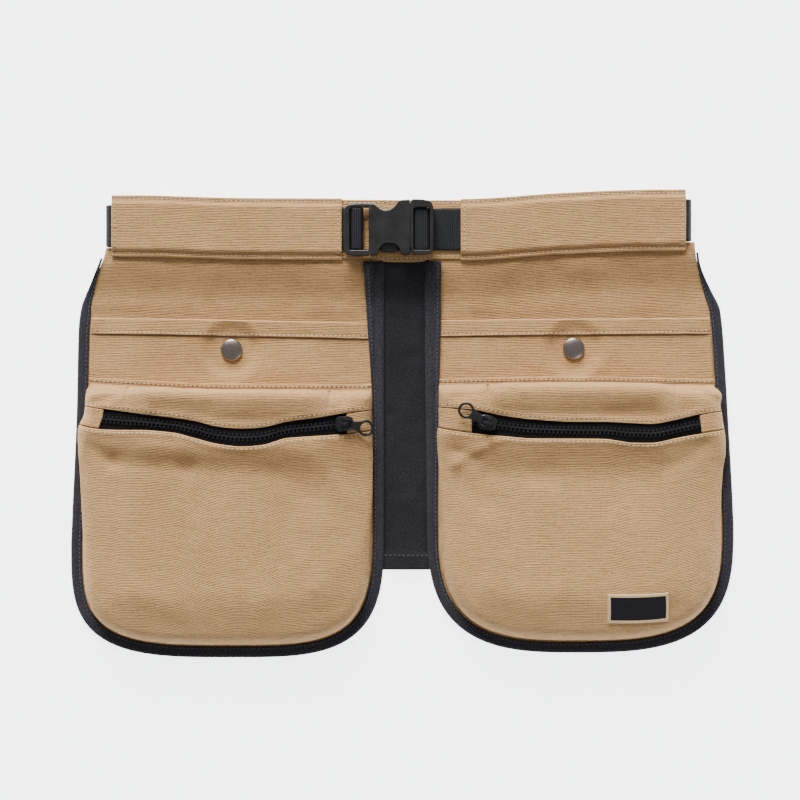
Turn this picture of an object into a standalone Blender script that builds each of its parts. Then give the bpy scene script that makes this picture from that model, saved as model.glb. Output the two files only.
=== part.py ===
"""Carpenter nail apron, lying on its back with the front up.

Waistband with a webbing belt and a side-release buckle, a left and a right pouch panel, and a
narrow panel between them. Each pouch panel carries an open patch pocket and, on top of that, a
deep pocket closed by a zip. Units are metres, +X is to the right, +Y towards the waistband, +Z up.
The origin is at the middle of the bounding box, on the floor.
"""
import math
from collections import namedtuple

import bpy
import numpy as np
from mathutils import Matrix, Vector

mm = 0.001

# Cloth, tapes and the clearance between separate pieces
canvas = 1.0 * mm                 # every sheet of canvas or twill
gap = 0.3 * mm                    # between two pieces that touch or are sewn together
webbing_width = 30.0 * mm
webbing = 1.5 * mm                # thickness of the belt webbing
zip_tape = 1.0 * mm
label_cloth = 1.0 * mm

# Plan sizes
left_panel_width = 225.4 * mm     # to the outside of the binding
right_panel_width = 222.3 * mm
centre_width = 28.9 * mm          # between the two bindings, at the waist
panel_length = 285.1 * mm         # from the waistband's lower edge to the bottom of the binding
waist_height = 44.0 * mm          # of the channels
waistband_height = 42.4 * mm      # of the band behind them
centre_length = 222.0 * mm        # of the centre panel below the waistband
buckle_opening = 85.0 * mm        # between the two channels
binding_width = 8.0 * mm
edge_room = 1.0 * mm              # between a panel's edge and the fold of its binding
pocket_room = 0.8 * mm            # between the binding and the edge of a pocket

# Heights
waist_gap = 5.5 * mm              # between the belt's back stretch and what lies over it
slope_run = 30.0 * mm             # length over which the panels come down from the waist
patch_bulge = 5.2 * mm            # how far each patch pocket stands open
patch_rise = 36.0 * mm            # run of that slope, in from the pocket's edge
pocket_gap = 0.5 * mm             # between the patch pocket and the zip pocket on it
pouch_depth = 13.0 * mm           # of each zip pocket
pouch_wall = 9.0 * mm             # run of its steep side
seam_flange = 4.0 * mm            # flat edge of a pocket, sewn down

# Zip
zip_chain_width = 6.0 * mm
zip_chain_height = 1.4 * mm
zip_tuck = 3.5 * mm               # of the tape, hidden behind the canvas on each side
slider_length = 12.6 * mm
slider_width = 10.5 * mm
slider_plate = 2.0 * mm
bridge_length = 4.6 * mm          # of the opening that the pull's bar turns in
bridge_width = 1.8 * mm
bridge_wire = 1.1 * mm
pull_thickness = 1.3 * mm
pull_bar = 1.3 * mm               # bar of the pull that turns under the bridge
pull_arm = 1.3 * mm
pull_eye = 5.4 * mm               # inner width of the eye round the bridge
pull_length = 21.0 * mm           # from the hinge to the far side of the ring
ring_radius = 5.6 * mm
ring_hole = 3.0 * mm
pull_droop = math.radians(4.0)    # the pull leans down over the slider's edge by this much
swing_clearance = 0.45 * mm

# Press studs
snap_radius = 7.8 * mm
snap_dome = 1.7 * mm
snap_rim = 0.9 * mm
stud_radius = 6.0 * mm
stud_height = 2.2 * mm            # closed socket and stud, between pocket and base panel
snap_drop = 21.4 * mm             # below the mouth of the pocket
snap_flat = 13.0 * mm             # radius of cloth that the cap holds flat
snap_fade = 24.0 * mm             # radius where the pocket stands open again

# Buckle
buckle_thickness = 8.4 * mm
buckle_ladder = 6.0 * mm          # thickness of the strap end of either half
buckle_half_width = 20.2 * mm
female_length = 48.0 * mm
male_length = 15.8 * mm
strap_bar = 2.6 * mm              # thickness of the bars that the webbing is looped round
female_bar_width = 4.6 * mm
male_bar_width = 7.4 * mm
bar_corner = 0.7 * mm             # room for the bars' square corners inside the webbing's turns
end_bar_width = 4.4 * mm          # of the female half's outer bar
male_end_width = 1.8 * mm
open_slot = 3.4 * mm              # between the looped webbing and the female half's body
strap_slack = 0.4 * mm            # each side of the webbing, inside the buckle
prong_length = 22.0 * mm
prong_width = 5.0 * mm
prong_spread = 14.6 * mm          # outer face of each prong from the middle
buckle_floor = 1.7 * mm           # plates above and below the prongs
overcut = 0.05 * mm               # a cutter's reach past the walls of the slot that it opens
buckle_seam = 6.0 * mm            # of the joint between both halves, right of the middle

label_width = 44.0 * mm
label_height = 20.5 * mm

# The waist line: rise is a share of waist_height, across a share of the whole width
WaistRow = namedtuple("WaistRow", "across rise")
waist_rows = [
    WaistRow(-0.50, 0.060), WaistRow(-0.40, 0.060), WaistRow(-0.25, 0.018), WaistRow(-0.09, 0.008),
    WaistRow(0.09, 0.000), WaistRow(0.24, 0.100), WaistRow(0.37, 0.152), WaistRow(0.50, 0.160),
]

# Side edges of each panel: down is a share of panel_length, inner and outer shares of its width
SideRow = namedtuple("SideRow", "down inner outer")
left_sides = [
    SideRow(-0.050, 0.000, 0.890), SideRow(-0.018, 0.000, 0.897), SideRow(0.048, 0.000, 0.931),
    SideRow(0.121, 0.000, 0.968), SideRow(0.174, 0.000, 0.976), SideRow(0.384, 0.000, 0.982),
    SideRow(0.500, 0.000, 0.988), SideRow(0.600, 0.000, 0.994), SideRow(0.712, 0.001, 1.000),
]
right_sides = [
    SideRow(-0.050, 0.000, 0.878), SideRow(-0.018, 0.000, 0.882), SideRow(0.010, 0.000, 0.889),
    SideRow(0.073, 0.000, 0.926), SideRow(0.126, 0.001, 0.957), SideRow(0.275, 0.002, 0.973),
    SideRow(0.384, 0.004, 0.981), SideRow(0.576, 0.007, 0.995), SideRow(0.667, 0.009, 1.000),
]

# Zip edges: across runs from the inner to the outer side of the pocket, -1 to 1, and upper and
# lower are shares of the zip pocket's length
ZipRow = namedtuple("ZipRow", "across upper lower")
left_zip = [
    ZipRow(-1.00, 0.110, 0.190), ZipRow(-0.81, 0.116, 0.190), ZipRow(-0.64, 0.125, 0.195),
    ZipRow(-0.34, 0.166, 0.220), ZipRow(-0.08, 0.175, 0.239), ZipRow(0.12, 0.165, 0.229),
    ZipRow(0.57, 0.136, 0.195), ZipRow(0.85, 0.122, 0.190), ZipRow(1.00, 0.118, 0.186),
]
right_zip = [
    ZipRow(-1.00, 0.112, 0.196), ZipRow(-0.78, 0.116, 0.204), ZipRow(-0.51, 0.147, 0.221),
    ZipRow(-0.20, 0.168, 0.233), ZipRow(0.10, 0.176, 0.236), ZipRow(0.36, 0.174, 0.243),
    ZipRow(0.57, 0.157, 0.230), ZipRow(0.85, 0.131, 0.204), ZipRow(1.00, 0.124, 0.196),
]

# Height of the zip pocket down its middle: down is a share of its length, height of pouch_depth
PuffRow = namedtuple("PuffRow", "down height")
puff_rows = [
    PuffRow(0.000, 0.00), PuffRow(0.022, 0.00), PuffRow(0.050, 0.52), PuffRow(0.085, 0.72),
    PuffRow(0.140, 0.74), PuffRow(0.200, 0.72), PuffRow(0.270, 0.80), PuffRow(0.400, 0.96),
    PuffRow(0.620, 1.00), PuffRow(0.820, 0.97), PuffRow(0.910, 0.84), PuffRow(0.958, 0.52),
    PuffRow(0.979, 0.00), PuffRow(1.000, 0.00),
]

# How far the pocket's side leans out over the binding: shares of binding_width
LeanRow = namedtuple("LeanRow", "down inner outer")
lean_rows = [
    LeanRow(0.00, 0.0, 0.00), LeanRow(0.10, 0.05, 0.05), LeanRow(0.25, 0.15, 0.35),
    LeanRow(0.40, 0.20, 0.55), LeanRow(0.60, 0.15, 0.30), LeanRow(0.80, 0.0, 0.00),
    LeanRow(1.00, 0.0, 0.00),
]

# Pleats in the strip above the zip: across as above, depth a share of pouch_depth
PleatRow = namedtuple("PleatRow", "across depth")
left_pleats = [PleatRow(-0.70, 0.22), PleatRow(0.72, 0.20)]
right_pleats = [PleatRow(-0.64, 0.22), PleatRow(0.70, 0.16)]
pleat_half_width = 2.6 * mm

# One row per side: where its parts are, as shares of panel_length (drops) and of pocket width
Side = namedtuple("Side", "name sign width sides reach corner_inner corner_outer power_inner "
                          "power_outer bottom mouth_inner mouth_outer top_inner top_mid top_outer "
                          "zip pleats slider heading")
sides = [
    Side("left", -1, left_panel_width, left_sides, 1.000, 0.654, 0.714, 3.5, 3.5, 0.484,
         0.157, 0.142, 0.311, 0.309, 0.292, left_zip, left_pleats, -0.80, -12.0),
    Side("right", 1, right_panel_width, right_sides, 0.988, 0.654, 0.667, 3.0, 3.1, 0.487,
         0.150, 0.143, 0.298, 0.291, 0.300, right_zip, right_pleats, -0.645, 150.0),
]

# Outline of half a buckle part: along from the strap end to the seam, across from its middle
OutlineRow = namedtuple("OutlineRow", "along across")
female_outline = [
    OutlineRow(0.00, 0.80), OutlineRow(0.02, 0.86), OutlineRow(0.37, 0.86), OutlineRow(0.47, 0.82),
    OutlineRow(0.53, 0.68), OutlineRow(0.60, 0.60), OutlineRow(0.68, 0.60), OutlineRow(0.75, 0.68),
    OutlineRow(0.80, 0.98), OutlineRow(0.83, 1.00), OutlineRow(0.98, 1.00), OutlineRow(1.00, 0.97),
]
male_outline = [
    OutlineRow(0.00, 0.95), OutlineRow(0.06, 0.98), OutlineRow(0.90, 0.98), OutlineRow(1.00, 0.88),
]

slope_steps = 6                   # rows of cloth down the slope below the waist

# Sizes that follow from those above
pocket_inset = binding_width + pocket_room
whole_width = left_panel_width + centre_width + right_panel_width
whole_length = panel_length + waist_height * (1.0 + waist_rows[-1].rise)
waist_bottom = -whole_length / 2 + panel_length
panel_head = (waist_height - webbing_width) / 2 - 2 * gap    # hidden under the waistband
panel_under = canvas + gap                          # underside of a panel on its binding
panel_over = panel_under + canvas
head_under = webbing + waist_gap                    # underside of the panels' heads
band_under = head_under + canvas + gap
belt_under = band_under + canvas + gap
belt_over = belt_under + webbing
lift_full = head_under - panel_under
bar_centre = belt_over + gap + strap_bar / 2        # of the buckle's bars, above the floor
bend_radius = belt_over / 2 - webbing / 2           # of the belt's middle, where it turns back
loop_radius = strap_bar / 2 + gap + webbing / 2     # of the belt's middle, round a buckle bar
loop_reach = bar_corner + gap + webbing             # from a bar's edge to the webbing's outside
female_start = buckle_seam - female_length
female_bar_x = female_start + end_bar_width + gap + loop_reach + female_bar_width / 2
male_bar_x = buckle_seam + male_length - male_end_width - loop_reach - male_bar_width / 2
inner_edge = {"left": -whole_width / 2 + left_panel_width,
              "right": whole_width / 2 - right_panel_width}


def clear_scene():
    for obj in list(bpy.data.objects):
        bpy.data.objects.remove(obj, do_unlink=True)


def new_collection(name):
    group = bpy.data.collections.new(name)
    bpy.context.scene.collection.children.link(group)
    return group


def material(name, colour, roughness, metallic=0.0):
    found = bpy.data.materials.get(name)
    if found:
        return found
    made = bpy.data.materials.new(name)
    made.use_nodes = True
    shader = made.node_tree.nodes["Principled BSDF"]
    shader.inputs["Base Color"].default_value = (*colour, 1.0)
    shader.inputs["Roughness"].default_value = roughness
    shader.inputs["Metallic"].default_value = metallic
    return made


def place(obj, finish, group):
    """Give an object its material and its collection."""
    obj.data.materials.clear()
    obj.data.materials.append(finish)
    for owner in list(obj.users_collection):
        owner.objects.unlink(obj)
    group.objects.link(obj)
    return obj


def smooth_step(t):
    t = np.clip(t, 0.0, 1.0)
    return t * t * (3 - 2 * t)


def through(xs, ys, x):
    """Smooth curve through the points (xs, ys), without overshoot, read at x."""
    xs, ys = np.asarray(xs, float), np.asarray(ys, float)
    step = np.diff(ys) / np.diff(xs)
    slope = np.zeros_like(ys)
    slope[0], slope[-1] = step[0], step[-1]
    both = step[:-1] * step[1:]
    with np.errstate(divide="ignore", invalid="ignore"):
        slope[1:-1] = np.where(both > 0, 2 * both / (step[:-1] + step[1:]), 0.0)
    x = np.clip(x, xs[0], xs[-1])
    k = np.clip(np.searchsorted(xs, x, side="right") - 1, 0, len(xs) - 2)
    h = xs[k + 1] - xs[k]
    t = (x - xs[k]) / h
    return ((2 * t ** 3 - 3 * t ** 2 + 1) * ys[k] + (t ** 3 - 2 * t ** 2 + t) * h * slope[k]
            + (3 * t ** 2 - 2 * t ** 3) * ys[k + 1] + (t ** 3 - t ** 2) * h * slope[k + 1])


def column(rows, name):
    return [getattr(row, name) for row in rows]


def waist_line(x):
    """Y of the middle of the waistband at x."""
    rise = through(column(waist_rows, "across"), column(waist_rows, "rise"), x / whole_width)
    return waist_bottom + waist_height * (0.5 + rise)


def lift(x, y):
    """Height that the panels are raised by near the waist."""
    below = waist_line(x) - waist_height / 2 - y
    return lift_full * (1 - smooth_step(below / slope_run))


def along_polyline(points, shares):
    """Points at the given shares of a polyline's length."""
    run = np.concatenate([[0], np.cumsum(np.hypot(*np.diff(points, axis=0).T))])
    at = np.asarray(shares) * run[-1]
    return np.stack([np.interp(at, run, points[:, 0]), np.interp(at, run, points[:, 1])], axis=-1)


def outline(side, inset=0.0):
    """Panel outline from the inner top round the bottom to the outer top, moved in by inset."""
    down = column(side.sides, "down")
    start = side.sides[0].down
    rows = np.linspace(start, side.corner_inner, 14)
    inner = np.stack([through(down, column(side.sides, "inner"), rows), rows], axis=1)
    rows = np.linspace(side.corner_outer, start, 16)
    outer = np.stack([through(down, column(side.sides, "outer"), rows), rows], axis=1)

    def corner(edge, power, angles):
        reach_x, reach_y = edge[0] - side.bottom, side.reach - edge[1]
        return np.stack([side.bottom + reach_x * np.cos(angles) ** (2 / power),
                         edge[1] + reach_y * np.sin(angles) ** (2 / power)], axis=1)

    quarter = np.linspace(0.0, math.pi / 2, 14)[1:]
    near = corner(inner[-1], side.power_inner, quarter)
    far = corner(outer[0], side.power_outer, quarter[::-1][1:])
    shares = np.concatenate([inner, near, far, outer])
    points = np.stack([inner_edge[side.name] + side.sign * side.width * shares[:, 0],
                       waist_bottom - panel_length * shares[:, 1]], axis=1)
    points = along_polyline(points, np.linspace(0, 1, 140))
    tangent = np.gradient(points, axis=0)
    tangent /= np.linalg.norm(tangent, axis=1, keepdims=True)
    inward = np.stack([-tangent[:, 1], tangent[:, 0]], axis=1) * side.sign
    return points + inward * np.asarray(inset).reshape(-1, 1)


def boundary(side, inset, top):
    """The four edges of a pocket or panel: top is y as a function of x."""
    points = outline(side, inset)
    lean = side.sign * points[:, 0]
    i = int(np.argmax(-lean - points[:, 1]))
    j = int(np.argmax(lean - points[:, 1]))
    inner, bottom, outer = points[:i + 1], points[i:j + 1], points[j:][::-1]

    def trim(edge):
        over = edge[:, 1] - top(edge[:, 0])
        k = int(np.argmax(over < 0))
        t = over[k - 1] / (over[k - 1] - over[k])
        cut = edge[k - 1] + t * (edge[k] - edge[k - 1])
        return np.concatenate([[cut], edge[k:]])

    inner, outer = trim(inner), trim(outer)
    xs = np.linspace(inner[0, 0], outer[0, 0], 40)
    upper = np.stack([xs, top(xs)], axis=1)
    return upper, bottom, inner, outer


def coons(edges, u, v):
    """Plan position at u (inner to outer, -1 to 1) and v (top to bottom, 0 to 1)."""
    upper, bottom, inner, outer = edges
    s = (np.asarray(u) + 1) / 2
    s, v = np.broadcast_arrays(s, v)
    s, v = np.clip(s, 0, 1)[..., None], np.clip(v, 0, 1)[..., None]
    top, low = along_polyline(upper, s[..., 0]), along_polyline(bottom, s[..., 0])
    near, far = along_polyline(inner, v[..., 0]), along_polyline(outer, v[..., 0])
    corners = ((1 - s) * (1 - v) * inner[0] + s * (1 - v) * outer[0]
               + (1 - s) * v * inner[-1] + s * v * outer[-1])
    return (1 - v) * top + v * low + (1 - s) * near + s * far - corners


def cloth(name, grid, finish, group, thickness=canvas, even=False):
    """Sheet whose outer face is the grid of points; its thickness goes in from there."""
    rows, cols = grid.shape[:2]
    i, j = np.meshgrid(np.arange(rows - 1), np.arange(cols - 1), indexing="ij")
    a = (i * cols + j).ravel()
    faces = np.stack([a, a + 1, a + cols + 1, a + cols], axis=1)
    points = grid.reshape(-1, 3)
    normal = np.cross(points[faces[:, 1]] - points[faces[:, 0]],
                      points[faces[:, 3]] - points[faces[:, 0]])
    if normal[:, 2].sum() < 0:
        faces = faces[:, ::-1]
    mesh = bpy.data.meshes.new(name)
    mesh.from_pydata(points.tolist(), [], faces.tolist())
    mesh.shade_smooth()
    obj = bpy.data.objects.new(name, mesh)
    wall = obj.modifiers.new("Cloth", "SOLIDIFY")
    wall.thickness = thickness
    wall.offset = -1.0
    wall.use_even_offset = even
    return place(obj, finish, group)


def waist_grid(xs, profile, height):
    """Band along the waist line: profile holds (share of height, z of the outer face)."""
    grid = np.zeros((len(profile), len(xs), 3))
    for k, (share, z) in enumerate(profile):
        grid[k, :, 0] = xs
        grid[k, :, 1] = waist_line(xs) + share * height
        grid[k, :, 2] = z
    return grid


def belt_ends():
    """X of the middle of each turn of the belt, just inside the ends of the channels."""
    return -whole_width * 0.4345, whole_width * 0.4235


def strap_loop(bar_x, bar_width, toward):
    """Belt's path round a buckle bar: from under the bar up and over, toward = side it opens to."""
    flat = bar_width / 2 - strap_bar / 2 + bar_corner
    angles = np.radians(np.linspace(-90, 90, 7))
    far = np.stack([flat + loop_radius * np.cos(angles), loop_radius * np.sin(angles)], axis=1)
    angles = np.radians(np.linspace(90, 198, 7))
    near = np.stack([-flat + loop_radius * np.cos(angles), loop_radius * np.sin(angles)], axis=1)
    path = np.concatenate([far, near])
    return np.stack([bar_x - toward * path[:, 0], bar_centre + path[:, 1]], axis=1)


def belt_path():
    """The belt's middle line in X and Z, from the male bar round the back to the female bar."""
    left, right = belt_ends()
    front = belt_under + webbing / 2
    back = webbing / 2
    turn = np.radians(np.linspace(90, -90, 9))
    male = strap_loop(male_bar_x, male_bar_width, 1)[::-1]
    female = strap_loop(female_bar_x, female_bar_width, -1)
    xs = np.linspace(male[-1, 0], right, 8)[1:-1]
    run_right = np.stack([xs, np.full(len(xs), front)], axis=1)
    bend_right = np.stack([right + bend_radius * np.cos(turn),
                           (front + back) / 2 + bend_radius * np.sin(turn)], axis=1)
    xs = np.linspace(right, left, 20)[1:-1]
    run_back = np.stack([xs, np.full(len(xs), back)], axis=1)
    bend_left = np.stack([left - bend_radius * np.cos(turn),
                          (front + back) / 2 - bend_radius * np.sin(turn)], axis=1)
    xs = np.linspace(left, female[0, 0], 8)[1:-1]
    run_left = np.stack([xs, np.full(len(xs), front)], axis=1)
    return np.concatenate([male, run_right, bend_right, run_back, bend_left, run_left, female])


def ribbon(name, path, width, thickness, finish, group):
    """Flat strap of even thickness along a path in X and Z, its width along Y."""
    tangent = np.gradient(path, axis=0)
    tangent /= np.linalg.norm(tangent, axis=1, keepdims=True)
    across = np.stack([-tangent[:, 1], tangent[:, 0]], axis=1)
    outer, inner = path + across * thickness / 2, path - across * thickness / 2
    count = len(path)
    points = []
    for line in (outer, inner):
        for half in (-width / 2, width / 2):
            y = waist_line(line[:, 0]) + half
            points.append(np.stack([line[:, 0], y, line[:, 1]], axis=1))
    points = np.concatenate(points)
    k = np.arange(count - 1)
    faces = [np.stack([a + k, a + k + 1, b + k + 1, b + k], axis=1)
             for a, b in ((count, 0), (3 * count, count), (2 * count, 3 * count), (0, 2 * count))]
    ends = np.array([[count, 0, 2 * count, 3 * count],
                     [count - 1, 2 * count - 1, 4 * count - 1, 3 * count - 1]])
    mesh = bpy.data.meshes.new(name)
    mesh.from_pydata(points.tolist(), [], np.concatenate(faces + [ends])[:, ::-1].tolist())
    obj = bpy.data.objects.new(name, mesh)
    return place(obj, finish, group)


def flat_outline(name, rings, thickness, bevel=0.0):
    """Closed outline, with holes where there are more rings, extruded to a plate."""
    data = bpy.data.curves.new(name, "CURVE")
    data.dimensions = "2D"
    data.fill_mode = "BOTH"
    data.extrude = thickness / 2
    for ring in rings:
        spline = data.splines.new("POLY")
        spline.points.add(len(ring) - 1)
        for point, (x, y) in zip(spline.points, ring):
            point.co = (x, y, 0.0, 1.0)
        spline.use_cyclic_u = True
    curve = bpy.data.objects.new(name, data)
    bpy.context.scene.collection.objects.link(curve)
    bpy.context.view_layer.update()
    mesh = bpy.data.meshes.new_from_object(curve.evaluated_get(bpy.context.evaluated_depsgraph_get()))
    bpy.data.objects.remove(curve)
    mesh.name = name
    obj = bpy.data.objects.new(name, mesh)
    bpy.context.scene.collection.objects.link(obj)
    weld = obj.modifiers.new("Weld", "WELD")
    weld.merge_threshold = 0.00001
    if bevel:
        edge = obj.modifiers.new("Edges", "BEVEL")
        edge.width = bevel
        edge.segments = 1
        edge.limit_method = "ANGLE"
        edge.angle_limit = math.radians(50)
    return obj


def box(name, low, high, group=None):
    """Box between two corners, made from a cube."""
    bpy.ops.mesh.primitive_cube_add(size=1.0)
    obj = bpy.context.active_object
    obj.name = name
    low, high = Vector(low), Vector(high)
    obj.data.transform(Matrix.Translation((low + high) / 2)
                       @ Matrix.Diagonal((*(high - low), 1.0)))
    if group:
        for owner in list(obj.users_collection):
            owner.objects.unlink(obj)
        group.objects.link(obj)
    return obj


def combine(obj, other, operation, cutters):
    """Boolean of two objects; the second one is kept as a hidden wire cutter."""
    step = obj.modifiers.new(other.name, "BOOLEAN")
    step.operation = operation
    step.solver = "EXACT"
    step.object = other
    for owner in list(other.users_collection):
        owner.objects.unlink(other)
    cutters.objects.link(other)
    other.hide_render = True
    other.display_type = "WIRE"


def turned(name, profile, finish, group, location, steps=20):
    """Solid of revolution: the profile runs from the top of the axis down its outer side."""
    mesh = bpy.data.meshes.new(name)
    mesh.from_pydata([(r, 0.0, z) for r, z in profile], [(k, k + 1) for k in range(len(profile) - 1)],
                     [])
    obj = bpy.data.objects.new(name, mesh)
    obj.location = location
    screw = obj.modifiers.new("Turn", "SCREW")
    screw.steps = screw.render_steps = steps
    screw.use_merge_vertices = True
    screw.merge_threshold = 0.00001
    screw.use_smooth_shade = True
    return place(obj, finish, group)


def pocket_top(side, x):
    """Y of the zip pocket's upper edge at x."""
    share = side.sign * (x - inner_edge[side.name]) / side.width
    drop = through([0.0, 0.5, 1.0], [side.top_inner, side.top_mid, side.top_outer], share)
    return waist_bottom - panel_length * drop


def pocket_mouth(side, x):
    """Y of the patch pocket's open edge at x."""
    share = side.sign * (x - inner_edge[side.name]) / side.width
    drop = side.mouth_inner + (side.mouth_outer - side.mouth_inner) * share
    return waist_bottom - panel_length * drop


def snap_place(side):
    """Plan position of the press stud: the middle of the pocket, below its mouth."""
    edges = patch_edges[side.name]
    x = (edges[2][0, 0] + edges[3][0, 0]) / 2
    return x, float(pocket_mouth(side, x)) - snap_drop


def patch_outer(side, x, y):
    """Height of the patch pocket's outer face."""
    x, y = np.asarray(x, float), np.asarray(y, float)
    edge = outline(side, pocket_inset)
    distance = np.min(np.hypot(x[..., None] - edge[:, 0], y[..., None] - edge[:, 1]), axis=-1)
    open_by = patch_bulge * smooth_step((distance - seam_flange) / patch_rise)
    sx, sy = snap_place(side)
    held = 1 - smooth_step((np.hypot(x - sx, y - sy) - snap_flat) / (snap_fade - snap_flat))
    closed = stud_height + gap                      # the stud's seat, above the sewn edge
    open_by = open_by + (closed - open_by) * held
    return lift(x, y) + panel_over + gap + canvas + open_by


def pouch_face(side, u, v):
    """Outer face of the zip pocket at u (inner to outer, -1 to 1) and v (top to bottom)."""
    u, v = np.broadcast_arrays(np.asarray(u, float), np.asarray(v, float))
    plan = coons(pouch_edges[side.name], u, v)
    half = side.width / 2 - pocket_inset
    inward = (1 - np.abs(u)) * half
    rise = np.sin(smooth_ramp((inward - seam_flange) / pouch_wall) * math.pi / 2) ** 0.8
    height = through(column(puff_rows, "down"), column(puff_rows, "height"), v) * rise
    for pleat in side.pleats:
        fold = np.clip(1 - np.abs(u - pleat.across) * half / pleat_half_width, 0, 1)
        fade = np.clip(1 - v / side.zip[0].upper, 0, 1) * (v > 0.022)
        height = height - pleat.depth * fold * fade * (height > 0.1)
    lean = np.where(u > 0, through(column(lean_rows, "down"), column(lean_rows, "outer"), v),
                    through(column(lean_rows, "down"), column(lean_rows, "inner"), v))
    shift = side.sign * np.sign(u) * lean * binding_width * smooth_step((np.abs(u) - 0.70) / 0.22)
    x = plan[..., 0] + shift * np.clip(height, 0, 1) ** 0.5
    z = patch_outer(side, plan[..., 0], plan[..., 1]) + pocket_gap + canvas + pouch_depth * height
    return np.stack([x, plan[..., 1], z], axis=-1)


def smooth_ramp(t):
    return np.clip(t, 0.0, 1.0)


def pouch_skin(side, u, v, out=0.0):
    """The zip pocket's face, moved out along its normal."""
    u, v = np.broadcast_arrays(np.asarray(u, float), np.asarray(v, float))
    face = pouch_face(side, u, v)
    if not np.any(out):
        return face
    step = 0.004
    du = pouch_face(side, u + step, v) - pouch_face(side, u - step, v)
    dv = pouch_face(side, u, v + step) - pouch_face(side, u, v - step)
    normal = -side.sign * np.cross(du, dv)
    normal /= np.linalg.norm(normal, axis=-1, keepdims=True)
    return face + normal * np.broadcast_to(out, u.shape)[..., None]


def zip_edge(side, u, name):
    return through(column(side.zip, "across"), column(side.zip, name), u)


def stations(values):
    """Values from 0 to 1, mirrored to run from -1 to 1."""
    values = np.asarray(values, float)
    return np.concatenate([-values[::-1][:-1], values]) if values[0] == 0 else values


def build_waist(tan, black_strap, group):
    left, right = belt_ends()
    xs = np.linspace(left, right, 17)
    top = band_under + canvas
    rows = [(-0.5, top), (0.0, top), (0.5, top)]
    cloth("waistband_base", waist_grid(xs, rows, waistband_height), tan, group)
    flat, raised = belt_under + canvas, belt_over + gap + canvas
    reach = (webbing_width / 2 + 1.2 * mm) / waist_height
    rows = [(-0.5, flat), (-reach - 0.06, flat), (-reach, raised), (0.0, raised),
            (reach, raised), (reach + 0.06, flat), (0.5, flat)]
    middle = (male_bar_x + female_bar_x) / 2 + 8.6 * mm
    xs = np.linspace(left - 1.0 * mm, middle - buckle_opening / 2, 9)
    cloth("belt_channel_left", waist_grid(xs, rows, waist_height), tan, group)
    xs = np.linspace(middle + buckle_opening / 2, right + 1.0 * mm, 9)
    cloth("belt_channel_right", waist_grid(xs, rows, waist_height), tan, group)
    ribbon("belt_webbing", belt_path(), webbing_width, webbing, black_strap, group)


def build_panel(side, tan, black, group):
    head = lambda x: waist_line(x) - waist_height / 2 + panel_head
    edges = boundary(side, canvas + edge_room, head)
    u = np.linspace(-1, 1, 9)
    slope = panel_head + slope_run * np.linspace(0, 1, slope_steps)
    v = np.concatenate([[0], slope / (panel_length * side.reach + panel_head),
                        [0.22, 0.34, 0.48, 0.62, 0.76, 0.88, 1.0]])[:, None]
    plan = coons(edges, u, v)
    z = lift(plan[..., 0], plan[..., 1]) + panel_over
    grid = np.concatenate([plan, z[..., None]], axis=-1)
    cloth("base_panel_" + side.name, grid, tan, group)

    # The binding's section: inset from the outline and height of its outer face
    low = lambda x: waist_line(x) - waist_height / 2 - gap
    thick = panel_over + gap + canvas
    section = [(binding_width, 0.0), (0.0, 0.0), (0.0, thick), (binding_width, thick)]
    path = outline(side)
    keep = path[:, 1] < low(path[:, 0])
    run = np.where(keep)[0]
    total = np.hypot(*np.diff(path[run[0]:run[-1] + 1], axis=0).T).sum()
    slope = np.linspace(0, slope_run / total, slope_steps)
    shares = np.concatenate([slope, np.linspace(slope[-1], 1 - slope[-1], 52)[1:-1],
                             1 - slope[::-1]])
    narrow = smooth_step((low(path[:, 0]) - path[:, 1]) / (45 * mm))
    outer_half = np.arange(len(path)) > len(path) / 2
    width_share = np.where(outer_half, 0.30 + 0.70 * narrow, 1.0)
    grid = []
    for inset, height in section:
        line = outline(side, inset * width_share)[run[0]:run[-1] + 1]
        line = along_polyline(line, shares)
        z = lift(line[:, 0], line[:, 1]) + height
        grid.append(np.concatenate([line, z[:, None]], axis=1))
    grid = np.stack(grid)
    if side.name == "right":
        grid = grid[:, ::-1]
    binding(("edge_binding_" + side.name), grid, black, group)


def binding(name, grid, finish, group):
    """Folded tape: the section's outer face with its thickness inwards."""
    rows, cols = grid.shape[:2]
    i, j = np.meshgrid(np.arange(rows - 1), np.arange(cols - 1), indexing="ij")
    a = (i * cols + j).ravel()
    faces = np.stack([a, a + cols, a + cols + 1, a + 1], axis=1)
    mesh = bpy.data.meshes.new(name)
    mesh.from_pydata(grid.reshape(-1, 3).tolist(), [], faces.tolist())
    mesh.shade_smooth()
    obj = bpy.data.objects.new(name, mesh)
    wall = obj.modifiers.new("Cloth", "SOLIDIFY")
    wall.thickness = canvas
    wall.offset = -1.0
    wall.use_even_offset = True
    return place(obj, finish, group)


def build_centre(black, group):
    left = outline(sides[0], -2 * gap)[:60]
    right = outline(sides[1], -2 * gap)[:60]
    bottom = waist_bottom - centre_length
    head = waist_bottom + panel_head
    ys = np.concatenate([[head, waist_bottom + 1 * mm], waist_bottom - slope_run * np.array(
        [0.2, 0.4, 0.6, 0.8, 1.0]), np.linspace(waist_bottom - slope_run, bottom, 6)[1:]])
    grid = np.zeros((len(ys), 3, 3))
    for k, y in enumerate(ys):
        low = float(np.interp(-y, -left[:, 1], left[:, 0]))
        high = float(np.interp(-y, -right[:, 1], right[:, 0]))
        raised = lift(0.0, y) * head_under / lift_full
        grid[k] = [(x, y, raised + canvas) for x in np.linspace(low, high, 3)]
    cloth("centre_panel", grid, black, group)


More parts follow.
